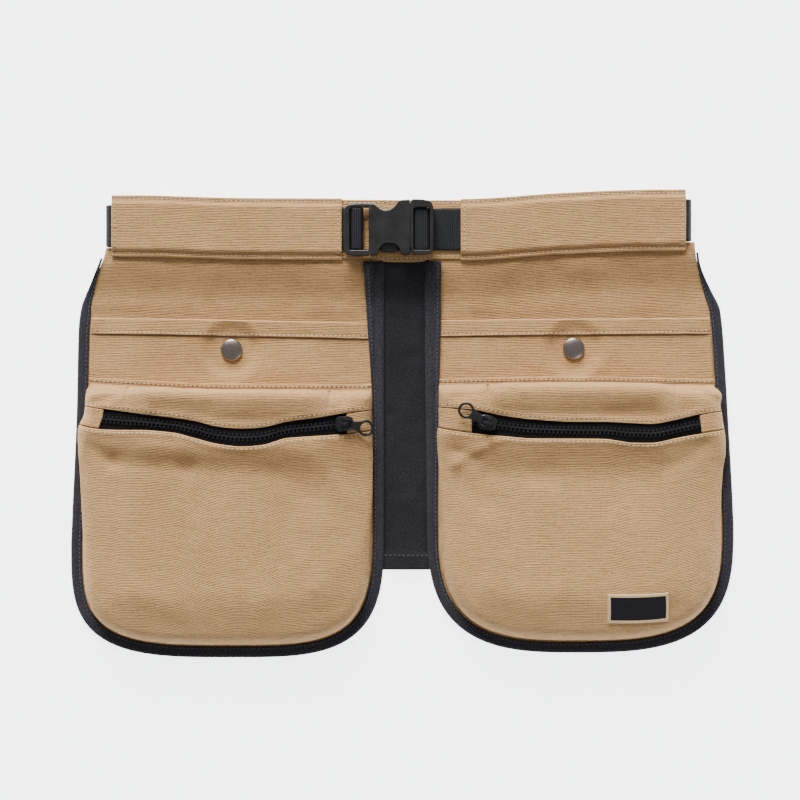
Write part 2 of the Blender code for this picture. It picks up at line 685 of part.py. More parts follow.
def build_patch(side, tan, steel, group):
    half = side.width / 2 - pocket_inset
    edge = seam_flange + patch_rise * np.linspace(1, 0, 5)
    u = stations(np.concatenate([[0, 0.095, 0.22, 0.42], 1 - edge / half, [1.0]]))
    length = panel_length * (side.reach - side.mouth_inner) - pocket_inset
    held = 1.2 * snap_radius
    near = np.array([0, (snap_drop - held) / 2, snap_drop - held, snap_drop,
                     snap_drop + held, snap_drop + snap_fade]) / length
    v = np.concatenate([near, [0.33, 0.50, 0.67], 1 - edge / length, [1.0]])[:, None]
    plan = coons(patch_edges[side.name], u, v)
    z = patch_outer(side, plan[..., 0], plan[..., 1])
    cloth("patch_pocket_" + side.name, np.concatenate([plan, z[..., None]], axis=-1), tan, group)
    x, y = snap_place(side)
    seat = float(patch_outer(side, x, y)) + gap
    cap = [(0.0, snap_rim + snap_dome), (snap_radius * 0.45, snap_rim + snap_dome * 0.88),
           (snap_radius * 0.8, snap_rim + snap_dome * 0.5), (snap_radius, snap_rim),
           (snap_radius, 0.0), (0.0, 0.0)]
    turned("snap_cap_" + side.name, cap, steel, group, (x, y, seat))
    under = panel_over + gap + stud_height / 2
    stud = [(0.0, stud_height / 2), (stud_radius * 0.75, stud_height / 2),
            (stud_radius * 0.75, 0.1 * mm), (stud_radius, -0.1 * mm),
            (stud_radius, -stud_height / 2), (0.0, -stud_height / 2)]
    turned("snap_stud_" + side.name, stud, steel, group, (x, y, under), steps=16)


def build_pouch(side, tan, black, group):
    half = side.width / 2 - pocket_inset
    join = gap / (panel_length * (side.reach - side.top_mid) - pocket_inset)
    wall = 1 - (seam_flange + pouch_wall * np.array([1.0, 0.55, 0.2, 0.0])) / half
    plain = [0, 0.22, 0.42, 0.60, 0.70, 0.79]
    u = stations(np.concatenate([plain, wall, [1.0]]))
    folds = np.concatenate([pleat.across + pleat_half_width / half * np.array([-1, 0, 1])
                            for pleat in side.pleats])
    wide = np.sort(np.concatenate([u, folds]))
    wide = wide[np.insert(np.diff(wide) > 0.008, 0, True)]
    upper = zip_edge(side, wide, "upper") - join
    rows = np.array([0.0, 0.17, 0.28, 0.42, 0.68, 1.0])[:, None]
    cloth("zip_pocket_top_" + side.name, pouch_face(side, wide, rows * upper), tan, group)

    lower = zip_edge(side, u, "lower") + join
    rows = np.array([0.0, 0.10, 0.24, 0.42, 0.60, 0.76, 0.86, 0.925, 0.955, 0.9735, 1.0])[:, None]
    cloth("zip_pocket_front_" + side.name, pouch_face(side, u, lower + rows * (1 - lower)),
          tan, group)

    # Zip: the tape lies behind the canvas, its chain stands up between the canvas edges
    tuck = zip_tuck / (panel_length * (side.reach - side.top_mid) - pocket_inset)
    chain = zip_chain_width / 2 / zip_tuck * tuck
    tab = 0.86
    u = stations(plain + [tab - 0.02])
    up, down = zip_edge(side, u, "upper"), zip_edge(side, u, "lower")
    mid = (up + down) / 2
    under = -(canvas + gap)
    v = np.stack([up - tuck, mid - chain, mid - chain * 0.8, mid + chain * 0.8, mid + chain,
                  down + tuck])
    top = under + zip_chain_height
    out = np.array([under, under, top, top, under, under])[:, None]
    cloth("zip_tape_" + side.name, pouch_skin(side, u, v, out), black, group, zip_tape)

    ends = {"inner": -1, "outer": 1}
    for name, sign in ends.items():
        u = sign * np.concatenate([[tab, 0.88], wall[wall > 0.885], [1.0]])
        up, down = zip_edge(side, u, "upper") + join, zip_edge(side, u, "lower") - join
        rows = np.linspace(0, 1, 3)[:, None]
        cloth("zip_tab_" + side.name + "_" + name, pouch_face(side, u, up + rows * (down - up)),
              tan, group)


def zip_frame(side, heading=None):
    """Frame on top of the zip's chain at the slider: X along the zip, or the way heading points."""
    def middle(u):
        v = (zip_edge(side, u, "upper") + zip_edge(side, u, "lower")) / 2
        return np.array([u]), np.array([v])

    def at(u, out):
        return Vector(pouch_skin(side, *middle(u), out)[0].tolist())

    reach = 0.05
    seat = at(side.slider, zip_chain_height - canvas - gap)
    normal = (at(side.slider, 1.0 * mm) - at(side.slider, -1.0 * mm)).normalized()
    if heading is None:
        along = at(side.slider + reach, 0.0) - at(side.slider - reach, 0.0)
        along = along if along.x > 0 else -along
    else:
        along = Vector((math.cos(math.radians(heading)), math.sin(math.radians(heading)), 0.0))
    across = normal.cross(along).normalized()
    frame = Matrix((across.cross(normal), across, normal)).transposed().to_4x4()
    return Matrix.Translation(seat + normal * gap) @ frame


def pull_outline():
    """Flat pull: an eye round the bridge, a neck and a ring, hinge at the origin, pull along +X."""
    half = pull_eye / 2 + pull_arm
    eye_in = bridge_length / 2 + bridge_wire + 2 * swing_clearance
    eye_end = eye_in + pull_arm
    ring_x = pull_length - ring_radius
    neck = 2.0 * mm
    start = math.asin(neck / ring_radius)
    ring = [(ring_x + ring_radius * math.cos(a), ring_radius * math.sin(a))
            for a in np.linspace(-math.pi + start, math.pi - start, 19)]
    outer = [(eye_end, -neck), *ring, (eye_end, neck), (eye_in, half),
             (-pull_bar / 2, half), (-pull_bar / 2, -half), (eye_in, -half)]
    eye = rect(pull_bar / 2, eye_in, pull_eye / 2)
    hole = [(ring_x + ring_hole * math.cos(a), ring_hole * math.sin(a))
            for a in np.linspace(0, 2 * math.pi, 15)[:-1]]
    return [outer, eye, hole]


def build_slider(side, metal, group, cutters):
    name = "zip_slider_" + side.name
    body = flat_outline(name, [[(slider_length * x, slider_width * y) for x, y in (
        (-0.5, -0.30), (-0.38, -0.5), (0.20, -0.5), (0.5, -0.34), (0.5, 0.34), (0.20, 0.5),
        (-0.38, 0.5), (-0.5, 0.30))]], slider_plate, bevel=0.4 * mm)
    body.data.transform(Matrix.Translation((0, 0, slider_plate / 2)))
    clear = math.hypot(pull_bar, pull_thickness) / 2 + swing_clearance
    hinge = slider_plate + clear
    half, top = bridge_length / 2, hinge + clear
    foot = slider_plate * 0.5
    rise = [(-half - bridge_wire, foot), (-half - bridge_wire, top * 0.8),
            (-half * 0.6, top + bridge_wire), (half * 0.6, top + bridge_wire),
            (half + bridge_wire, top * 0.8), (half + bridge_wire, foot)]
    inside = [(half, foot), (half, top * 0.72), (half * 0.45, top), (-half * 0.45, top),
              (-half, top * 0.72), (-half, foot)]
    bridge = flat_outline(name + "_bridge", [rise + inside], bridge_width)
    bridge.data.transform(Matrix.Rotation(math.pi / 2, 4, "X"))
    combine(body, bridge, "UNION", cutters)
    body.matrix_world = bridge.matrix_world = zip_frame(side)
    place(body, metal, group)

    pull = flat_outline("zip_pull_" + side.name, pull_outline(), pull_thickness)
    pull.matrix_world = (zip_frame(side, side.heading) @ Matrix.Translation((0, 0, hinge))
                         @ Matrix.Rotation(pull_droop, 4, "Y"))
    place(pull, metal, group)


def mirror_outline(rows, length, half):
    """Closed ring from half an outline."""
    upper = [(row.along * length, row.across * half) for row in rows]
    return upper + [(x, -y) for x, y in reversed(upper)]


def rect(x0, x1, half):
    return [(x0, -half), (x1, -half), (x1, half), (x0, half)]


def build_buckle(plastic, group, cutters):
    y = float(waist_line(0.0))
    low = belt_under
    inner = webbing_width / 2 + strap_slack
    bar0 = female_bar_x - female_start - female_bar_width / 2
    bar1 = bar0 + female_bar_width
    body0 = bar1 + loop_reach + open_slot
    rings = [mirror_outline(female_outline, female_length, buckle_half_width),
             rect(end_bar_width, bar0, inner), rect(bar1, body0, inner)]
    female = flat_outline("buckle_female", rings, buckle_thickness)
    female.data.transform(Matrix.Translation((0, 0, buckle_thickness / 2)))
    bar_low = bar_centre - strap_bar / 2 - low
    past = inner + overcut
    relief = box("strap_relief_low", (-1 * mm, -past, -1 * mm), (body0 + overcut, past, bar_low))
    combine(female, relief, "DIFFERENCE", cutters)
    ladder = box("ladder_relief", (-1 * mm, -1.1 * buckle_half_width, bar_low + buckle_ladder),
                 (body0 - 1.0 * mm, 1.1 * buckle_half_width, buckle_thickness + 1 * mm))
    combine(female, ladder, "DIFFERENCE", cutters)
    over = box("strap_relief_high", (end_bar_width - overcut, -past, bar_low + strap_bar),
               (body0 + 2 * overcut, past, buckle_thickness + 2 * mm))
    combine(female, over, "DIFFERENCE", cutters)
    cavity = box("prong_cavity", (female_length - prong_length - 2 * gap,
                                  -prong_spread - 2 * gap, buckle_floor),
                 (female_length + 1 * mm, prong_spread + 2 * gap, buckle_thickness - buckle_floor))
    combine(female, cavity, "DIFFERENCE", cutters)
    for part in (female, relief, ladder, over, cavity):
        part.location = (female_start, y, low)
    place(female, plastic, group)

    bar0 = male_bar_x - buckle_seam - gap - male_bar_width / 2
    bar1 = bar0 + male_bar_width
    window0, window1 = bar0 - loop_reach - gap, bar1 + loop_reach
    rings = [mirror_outline(male_outline, male_length, buckle_half_width),
             rect(window0, bar0, inner), rect(bar1, window1, inner)]
    male = flat_outline("buckle_male", rings, buckle_thickness)
    male.data.transform(Matrix.Translation((0, 0, buckle_thickness / 2)))
    under = box("male_relief_low", (window0 - overcut, -past, -1 * mm),
                (male_length + 1 * mm, past, bar_low))
    combine(male, under, "DIFFERENCE", cutters)
    above = box("male_relief_high", (window0 - 2 * overcut, -past, bar_low + strap_bar),
                (window1 + overcut, past, buckle_thickness + 1 * mm))
    combine(male, above, "DIFFERENCE", cutters)
    shade = box("male_slope", (window0 + 1 * mm, -1.1 * buckle_half_width, bar_low + buckle_ladder),
                (male_length + 1 * mm, 1.1 * buckle_half_width, buckle_thickness + 2 * mm))
    combine(male, shade, "DIFFERENCE", cutters)
    parts = [male, under, above, shade]
    for sign in (-1, 1):
        faces = sorted((sign * prong_spread, sign * (prong_spread - prong_width)))
        prong = box("prong", (-prong_length, faces[0], buckle_floor + gap),
                    (window0 * 0.7, faces[1], buckle_thickness - buckle_floor - gap))
        combine(male, prong, "UNION", cutters)
        parts.append(prong)
    for part in parts:
        part.location = (buckle_seam + gap, y, low)
    place(male, plastic, group)


def build_label(side, finish, group):
    half = side.width / 2 - pocket_inset
    length = panel_length * (side.reach - side.top_mid) - pocket_inset
    u = 0.41 + np.linspace(-0.5, 0.5, 7) * label_width / half
    v = (0.858 + np.linspace(-0.5, 0.5, 5) * label_height / length)[:, None]
    cloth("label_patch", pouch_skin(side, u, v, gap + label_cloth), finish, group, label_cloth)


clear_scene()
apron = new_collection("Carpenter nail apron")
cutters = new_collection("Cutters")
tan = material("tan_canvas", (0.62, 0.42, 0.22), 0.92)
black = material("black_twill", (0.035, 0.035, 0.037), 0.9)
strap = material("black_webbing", (0.02, 0.02, 0.021), 0.7)
plastic = material("black_plastic", (0.018, 0.018, 0.019), 0.35)
zip_black = material("black_zip", (0.02, 0.02, 0.02), 0.55)
steel = material("antique_steel", (0.22, 0.21, 0.19), 0.35, 1.0)
black_metal = material("black_metal", (0.03, 0.03, 0.032), 0.3, 0.6)
label = material("woven_label", (0.05, 0.05, 0.05), 0.85)

patch_edges = {side.name: boundary(side, pocket_inset,
                                   lambda x, side=side: pocket_mouth(side, x)) for side in sides}
pouch_edges = {side.name: boundary(side, pocket_inset,
                                   lambda x, side=side: pocket_top(side, x)) for side in sides}

build_waist(tan, strap, apron)
build_centre(black, apron)
for side in sides:
    build_panel(side, tan, black, apron)
    build_patch(side, tan, steel, apron)
    build_pouch(side, tan, zip_black, apron)
    build_slider(side, black_metal, apron, cutters)
build_label(sides[1], label, apron)
build_buckle(plastic, apron, cutters)
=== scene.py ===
import math

import bmesh
import bpy
import numpy as np
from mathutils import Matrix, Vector, geometry


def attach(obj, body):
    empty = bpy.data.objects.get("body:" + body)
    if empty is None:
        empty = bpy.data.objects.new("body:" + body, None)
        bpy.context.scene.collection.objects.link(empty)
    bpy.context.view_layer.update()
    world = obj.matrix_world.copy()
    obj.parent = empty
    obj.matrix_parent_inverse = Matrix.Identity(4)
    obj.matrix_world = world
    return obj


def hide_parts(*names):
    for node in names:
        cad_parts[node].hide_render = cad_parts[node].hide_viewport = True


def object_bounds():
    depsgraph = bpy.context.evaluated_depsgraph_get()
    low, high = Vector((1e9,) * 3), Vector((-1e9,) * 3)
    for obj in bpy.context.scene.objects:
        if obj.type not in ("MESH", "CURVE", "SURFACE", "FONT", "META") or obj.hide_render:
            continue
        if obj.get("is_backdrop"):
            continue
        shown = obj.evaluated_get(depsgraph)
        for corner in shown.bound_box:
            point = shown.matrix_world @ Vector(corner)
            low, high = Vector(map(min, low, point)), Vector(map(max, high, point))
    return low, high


# Every length below is in millimetres; meshes are made in metres
mm = 0.001

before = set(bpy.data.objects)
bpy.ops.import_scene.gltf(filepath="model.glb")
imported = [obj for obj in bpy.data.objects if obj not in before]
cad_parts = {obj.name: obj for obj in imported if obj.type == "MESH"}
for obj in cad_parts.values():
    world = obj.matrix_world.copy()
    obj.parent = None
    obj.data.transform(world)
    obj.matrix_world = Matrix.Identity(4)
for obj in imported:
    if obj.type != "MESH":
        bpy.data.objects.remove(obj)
frameBox = [list(map(float, corner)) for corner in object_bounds()]
print("frame loaded:", len(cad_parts), "pieces")

# The plan that the cloth pieces share
plan = {
    "leftWidth": 225.4, "rightWidth": 222.3, "centreWidth": 28.9, "panelLength": 285.1,
    "waistHeight": 44.0, "bandHeight": 42.4, "centreLength": 222.0, "bindingWidth": 8.0,
    "studDrop": 21.4,
    "edgeRoom": 1.0, "pocketRoom": 0.8, "seamFlange": 4.0, "cloth": 1.0, "gap": 0.3,
    "webbing": 1.5, "webbingWidth": 30.0, "waistGap": 5.5, "slopeRun": 30.0,
}
waistRows = np.array([[-0.50, 0.060], [-0.40, 0.060], [-0.25, 0.018], [-0.09, 0.008],
                      [0.09, 0.000], [0.24, 0.100], [0.37, 0.152], [0.50, 0.160]])
wholeWidth = plan["leftWidth"] + plan["centreWidth"] + plan["rightWidth"]
wholeLength = plan["panelLength"] + plan["waistHeight"] * (1 + waistRows[:, 1].max())
waistBottom = -wholeLength / 2 + plan["panelLength"]
pocketInset = plan["bindingWidth"] + plan["pocketRoom"]
panelUnder = plan["cloth"] + plan["gap"]
panelOver = panelUnder + plan["cloth"]
headUnder = plan["webbing"] + plan["waistGap"]
bandUnder = headUnder + plan["cloth"] + plan["gap"]
beltUnder = bandUnder + plan["cloth"] + plan["gap"]
beltOver = beltUnder + plan["webbing"]
liftFull = headUnder - panelUnder
panelHead = (plan["waistHeight"] - plan["webbingWidth"]) / 2 - 2 * plan["gap"]

# One dictionary per pouch: side edges are rows of (down, inner, outer), zip edges rows of
# (across, upper, lower), pleats rows of (across, depth), folds rows of
# (fromX, fromY, toX, toY, halfWidth, height) on the pouch front
leftPouch = {
    "name": "Left", "node": "left", "sign": -1, "width": plan["leftWidth"],
    "sides": np.array([[-0.050, 0.000, 0.890], [-0.018, 0.000, 0.897], [0.048, 0.000, 0.931],
                       [0.121, 0.000, 0.968], [0.174, 0.000, 0.976], [0.384, 0.000, 0.982],
                       [0.500, 0.000, 0.988], [0.600, 0.000, 0.994], [0.712, 0.001, 1.000]]),
    "reach": 1.000, "cornerInner": 0.654, "cornerOuter": 0.714, "powerInner": 3.5,
    "powerOuter": 3.5, "bottom": 0.484, "mouth": (0.157, 0.142), "top": (0.311, 0.309, 0.292),
    "zip": np.array([[-1.00, 0.104, 0.190], [-0.81, 0.114, 0.192], [-0.64, 0.127, 0.194],
                     [-0.41, 0.143, 0.201], [-0.23, 0.165, 0.227], [-0.09, 0.170, 0.233],
                     [0.07, 0.164, 0.224], [0.24, 0.144, 0.203], [0.38, 0.135, 0.187],
                     [0.55, 0.129, 0.183], [0.85, 0.118, 0.193], [1.00, 0.112, 0.186]]),
    "tabs": (0.815, 0.850),
    "pleats": np.array([[-0.70, 0.30], [0.72, 0.28]]),
    "lean": np.array([[0.00, 0.0, 0.00], [0.03, 0.05, 0.30], [0.06, 0.08, 0.38], [0.14, 0.10, 0.48],
                      [0.21, 0.15, 1.02], [0.32, 0.34, 0.93], [0.43, 0.33, 0.68], [0.58, 0.10, 0.28],
                      [0.70, 0.0, 0.05], [1.0, 0.0, 0.0]]),
    "pinches": np.array([[-228, 23, -205, 27, 3.2, -1.0], [-222, 14, -203, 22, 3.4, -1.0],
                         [-56, 25, -42, 17, 4.0, -1.3], [-38, 27, -27, 18, 3.0, 0.9],
                         [-168, 12, -140, 10, 6.0, -0.8]]),
    "bindingWide": np.array([[0.0, 1.90], [0.15, 1.56], [0.30, 1.20], [0.42, 1.02], [1.0, 1.0]]),
    "seed": 11,
    "folds": np.array([[-229, -15, -207, -26, 6.0, -1.9], [-207, -26, -153, -31, 7.0, -1.7],
                       [-153, -31, -92, -34, 8.0, -1.2], [-78, -40, -64, -50, 10, -1.1],
                       [-62, -22, -40, -52, 8, 0.9], [-228, -40, -205, -70, 10, 1.0],
                       [-190, -120, -150, -138, 9, 0.9], [-60, -118, -34, -92, 10, 1.0],
                       [-120, -60, -80, -100, 22, 0.8]]),
}
rightPouch = {
    "name": "Right", "node": "right", "sign": 1, "width": plan["rightWidth"],
    "sides": np.array([[-0.050, 0.000, 0.878], [-0.018, 0.000, 0.882], [0.010, 0.000, 0.889],
                       [0.073, 0.000, 0.926], [0.126, 0.001, 0.957], [0.275, 0.002, 0.973],
                       [0.384, 0.004, 0.981], [0.576, 0.007, 0.995], [0.667, 0.009, 1.000]]),
    "reach": 0.988, "cornerInner": 0.654, "cornerOuter": 0.667, "powerInner": 3.0,
    "powerOuter": 3.1, "bottom": 0.487, "mouth": (0.150, 0.143), "top": (0.298, 0.291, 0.300),
    "zip": np.array([[-1.00, 0.116, 0.200], [-0.76, 0.123, 0.210], [-0.54, 0.145, 0.218],
                     [-0.34, 0.159, 0.226], [0.00, 0.170, 0.228], [0.17, 0.170, 0.229],
                     [0.38, 0.174, 0.243], [0.50, 0.177, 0.244], [0.68, 0.163, 0.229],
                     [0.87, 0.138, 0.213], [1.00, 0.130, 0.206]]),
    "tabs": (0.755, 0.830),
    "pleats": np.array([[-0.64, 0.34], [0.70, 0.22]]),
    "lean": np.array([[0.00, 0.0, 0.00], [0.03, 0.05, 0.35], [0.07, 0.08, 0.72], [0.106, 0.08, 0.55],
                      [0.136, 0.08, 0.62], [0.18, 0.12, 0.69], [0.235, 0.35, 0.84], [0.30, 0.33, 0.85],
                      [0.37, 0.28, 0.60], [0.485, 0.14, 0.24], [0.60, 0.0, 0.05], [1.0, 0.0, 0.0]]),
    "pinches": np.array([[38, 20, 60, 23, 3.6, -1.0], [34, 27, 58, 28, 3.2, 0.6],
                         [64, 28, 78, 24, 5.0, -0.9], [214, 23, 224, 18, 4.0, -1.4],
                         [148, 8, 176, 10, 6.0, -0.9]]),
    "bindingWide": np.array([[0.0, 1.48], [0.15, 1.42], [0.30, 1.26], [0.45, 1.12], [0.65, 0.95],
                             [1.0, 0.95]]),
    "seed": 23,
    "folds": np.array([[27, -17, 52, -24, 5.0, -1.8], [36, -29, 64, -13, 4.5, 1.5],
                       [38, -40, 58, -56, 9, -1.2], [60, -34, 104, -36, 10, -1.0],
                       [104, -36, 176, -36, 12, -1.0], [215, -15, 190, -30, 7, -1.4],
                       [200, -120, 214, -90, 10, 1.0], [60, -118, 96, -132, 10, 0.9],
                       [120, -64, 170, -84, 20, 0.7]]),
}
pouches = [leftPouch, rightPouch]
innerEdge = {"Left": -wholeWidth / 2 + plan["leftWidth"], "Right": wholeWidth / 2 - plan["rightWidth"]}


def smoothStep(t):  # 3t^2 - 2t^3 between 0 and 1
    t = np.clip(t, 0.0, 1.0)
    return t * t * (3 - 2 * t)


def stacked(*parts):  # values side by side on the last axis, broadcast to one shape
    return np.stack(np.broadcast_arrays(*parts), axis=-1)


def unit(vectors):  # vectors of length 1
    return vectors / np.maximum(np.linalg.norm(vectors, axis=-1, keepdims=True), 1e-9)


def runOf(points):  # running length of a polyline at each of its points
    return np.concatenate([[0], np.cumsum(np.linalg.norm(np.diff(points, axis=0), axis=1))])


def through(xs, ys, x):
    # Cubic Hermite curve through the rows, slopes from the harmonic mean, so it never overshoots
    xs, ys = np.asarray(xs, float), np.asarray(ys, float)
    step = np.diff(ys) / np.diff(xs)
    slope = np.zeros_like(ys)
    slope[0], slope[-1] = step[0], step[-1]
    both = step[:-1] * step[1:]
    with np.errstate(divide="ignore", invalid="ignore"):
        slope[1:-1] = np.where(both > 0, 2 * both / (step[:-1] + step[1:]), 0.0)
    x = np.clip(x, xs[0], xs[-1])
    k = np.clip(np.searchsorted(xs, x, side="right") - 1, 0, len(xs) - 2)
    h = xs[k + 1] - xs[k]
    t = (x - xs[k]) / h
    return ((2 * t ** 3 - 3 * t ** 2 + 1) * ys[k] + (t ** 3 - 2 * t ** 2 + t) * h * slope[k]
            + (3 * t ** 2 - 2 * t ** 3) * ys[k + 1] + (t ** 3 - t ** 2) * h * slope[k + 1])


def cloud(x, y, size, seed):
    # Smooth noise from -1 to 1: random values on a lattice of that size, eased between its points
    table = np.random.default_rng(seed).uniform(-1, 1, (64, 64))
    a, b = np.asarray(x) / size, np.asarray(y) / size
    i, j = np.floor(a).astype(int), np.floor(b).astype(int)
    s, t = smoothStep(a - i), smoothStep(b - j)
    pick = lambda p, q: table[p % 64, q % 64]
    low = pick(i, j) * (1 - s) + pick(i + 1, j) * s
    high = pick(i, j + 1) * (1 - s) + pick(i + 1, j + 1) * s
    return low * (1 - t) + high * t


def waistLine(x):  # Y of the middle of the waistband at x
    rise = through(waistRows[:, 0], waistRows[:, 1], np.asarray(x) / wholeWidth)
    return waistBottom + plan["waistHeight"] * (0.5 + rise)


def lift(x, y):  # how far the panels are raised near the waist, easing to 0 over the slope
    below = waistLine(x) - plan["waistHeight"] / 2 - y
    return liftFull * (1 - smoothStep(below / plan["slopeRun"]))


def alongLine(points, shares, values=None):
    # Points of a polyline, or other values given at them, at shares of its length
    run = runOf(points)
    values = points if values is None else values
    return stacked(*[np.interp(np.asarray(shares) * run[-1], run, values[:, k]) for k in range(values.shape[1])])


def outlineOf(pouch, inset=0.0, count=360):
    # Side edges from their rows, joined by two superellipse corners, then moved in by inset
    down, start = pouch["sides"][:, 0], pouch["sides"][0, 0]
    rows = np.linspace(start, pouch["cornerInner"], 70)
    inner = stacked(through(down, pouch["sides"][:, 1], rows), rows)
    rows = np.linspace(pouch["cornerOuter"], start, 80)
    outer = stacked(through(down, pouch["sides"][:, 2], rows), rows)

    def corner(edge, power, angles):
        reachX, reachY = edge[0] - pouch["bottom"], pouch["reach"] - edge[1]
        return stacked(pouch["bottom"] + reachX * np.cos(angles) ** (2 / power),
                         edge[1] + reachY * np.sin(angles) ** (2 / power))

    quarter = np.linspace(0.0, math.pi / 2, 60)[1:]
    near = corner(inner[-1], pouch["powerInner"], quarter)
    far = corner(outer[0], pouch["powerOuter"], quarter[::-1][1:])
    shares = np.concatenate([inner, near, far, outer])
    points = stacked(innerEdge[pouch["name"]] + pouch["sign"] * pouch["width"] * shares[:, 0],
                       waistBottom - plan["panelLength"] * shares[:, 1])
    points = alongLine(points, np.linspace(0, 1, count))
    tangent = unit(np.gradient(points, axis=0))
    inward = stacked(-tangent[:, 1], tangent[:, 0]) * pouch["sign"]
    return points + inward * np.asarray(inset).reshape(-1, 1)


def boundary(pouch, inset, top):  # the four edges of a pocket: top, bottom, inner, outer
    points = outlineOf(pouch, inset)
    lean = pouch["sign"] * points[:, 0]
    i, j = int(np.argmax(-lean - points[:, 1])), int(np.argmax(lean - points[:, 1]))
    inner, bottom, outer = points[:i + 1], points[i:j + 1], points[j:][::-1]

    def trim(edge):
        over = edge[:, 1] - top(edge[:, 0])
        k = int(np.argmax(over < 0))
        t = over[k - 1] / (over[k - 1] - over[k])
        return np.concatenate([[edge[k - 1] + t * (edge[k] - edge[k - 1])], edge[k:]])

    inner, outer = trim(inner), trim(outer)
    xs = np.linspace(inner[0, 0], outer[0, 0], 90)
    return stacked(xs, top(xs)), bottom, inner, outer


def coons(edges, u, v):
    # Coons patch: top and bottom blended down, inner and outer blended across, less the corners
    upper, bottom, inner, outer = edges
    s, v = np.broadcast_arrays((np.asarray(u, float) + 1) / 2, np.asarray(v, float))
    s, v = np.clip(s, 0, 1)[..., None], np.clip(v, 0, 1)[..., None]
    top, low = alongLine(upper, s[..., 0]), alongLine(bottom, s[..., 0])
    near, far = alongLine(inner, v[..., 0]), alongLine(outer, v[..., 0])
    corners = ((1 - s) * (1 - v) * inner[0] + s * (1 - v) * outer[0]
               + (1 - s) * v * inner[-1] + s * v * outer[-1])
    return (1 - v) * top + v * low + (1 - s) * near + s * far - corners


def reachToLine(x, y, line):
    # Shortest distance from each point to the polyline's segments
    shape = np.broadcast(x, y).shape
    p = stacked(np.ravel(x), np.ravel(y))
    a, d = line[:-1], np.diff(line, axis=0)
    long = (d ** 2).sum(1)
    out = np.empty(len(p))
    for k in range(0, len(p), 6000):
        r = p[k:k + 6000, None] - a
        t = np.clip((r * d).sum(2) / long, 0, 1)
        out[k:k + 6000] = np.sqrt(((r - t[..., None] * d) ** 2).sum(2).min(1))
    return out.reshape(shape)


def share(pouch, x):  # how far x lies from the pouch's inner edge, as a share of its width
    return pouch["sign"] * (x - innerEdge[pouch["name"]]) / pouch["width"]


def mouthLine(pouch, x):  # Y of the patch pocket's open edge
    a, b = pouch["mouth"]
    return waistBottom - plan["panelLength"] * (a + (b - a) * share(pouch, x))


def pouchTop(pouch, x):  # Y of the zip pocket's upper edge
    return waistBottom - plan["panelLength"] * through([0, 0.5, 1], pouch["top"], share(pouch, x))


for pouch in pouches:
    pouch["line"] = outlineOf(pouch, pocketInset, 220)
    pouch["patchEdges"] = boundary(pouch, pocketInset, lambda x, p=pouch: mouthLine(p, x))
    pouch["pouchEdges"] = boundary(pouch, pocketInset, lambda x, p=pouch: pouchTop(p, x))
    studX = (pouch["patchEdges"][2][0, 0] + pouch["patchEdges"][3][0, 0]) / 2
    pouch["stud"] = (studX, float(mouthLine(pouch, studX)) - plan["studDrop"])
    pouch["half"] = pouch["width"] / 2 - pocketInset
    pouch["long"] = plan["panelLength"] * (pouch["reach"] - pouch["top"][1]) - pocketInset

# Heights of the pockets. Puff rows are (share down, share of the depth), and the values from
# endsFrom on say at which shares across and down the zip pocket changes its profile
pocketShape = {
    "patchBulge": 5.2, "patchRise": 36.0, "studHeight": 2.5, "studFlat": 13.0, "studFade": 24.0,
    "pouchGap": 0.5, "pouchDepth": 13.0, "pouchSeam": 0.7, "pouchWall": 9.5, "pleatSpread": 1.092,
    "endsFrom": 0.52, "endsOver": 0.16, "leanFrom": 0.70, "leanOver": 0.22, "flange": 0.022,
    "roll": 2.6, "rollTo": 0.60, "rollOver": 0.14, "rollDown": 0.05, "rollFade": 0.07,
    "puff": np.array([[0.000, 0.00], [0.022, 0.00], [0.036, 0.60], [0.052, 0.90], [0.070, 0.97],
                      [0.090, 0.92], [0.145, 0.72], [0.170, 0.71], [0.205, 0.725], [0.235, 0.745],
                      [0.262, 0.68], [0.300, 0.55], [0.340, 0.465], [0.385, 0.435], [0.440, 0.45],
                      [0.560, 0.55], [0.700, 0.69], [0.840, 0.84], [0.930, 0.89], [1.000, 0.81]]),
    "puffEnds": np.array([[0.000, 0.00], [0.022, 0.00], [0.040, 0.46], [0.062, 0.73], [0.090, 0.78],
                          [0.140, 0.745], [0.200, 0.725], [0.225, 0.70], [0.262, 0.63], [0.300, 0.56],
                          [0.340, 0.49], [0.385, 0.47], [0.440, 0.48], [0.560, 0.56], [0.700, 0.69],
                          [0.840, 0.84], [0.930, 0.88], [1.000, 0.81]]),
}


def patchOuter(pouch, x, y):
    # Panel height plus a bulge that eases in from the sewn edge and is held down at the stud
    x, y = np.asarray(x, float), np.asarray(y, float)
    s = pocketShape
    rise = smoothStep((reachToLine(x, y, pouch["line"]) - plan["seamFlange"]) / s["patchRise"])
    openBy = s["patchBulge"] * rise
    away = np.hypot(x - pouch["stud"][0], y - pouch["stud"][1])
    held = 1 - smoothStep((away - s["studFlat"]) / (s["studFade"] - s["studFlat"]))
    openBy = openBy + (s["studHeight"] - openBy) * held
    return lift(x, y) + panelOver + plan["gap"] + plan["cloth"] + openBy


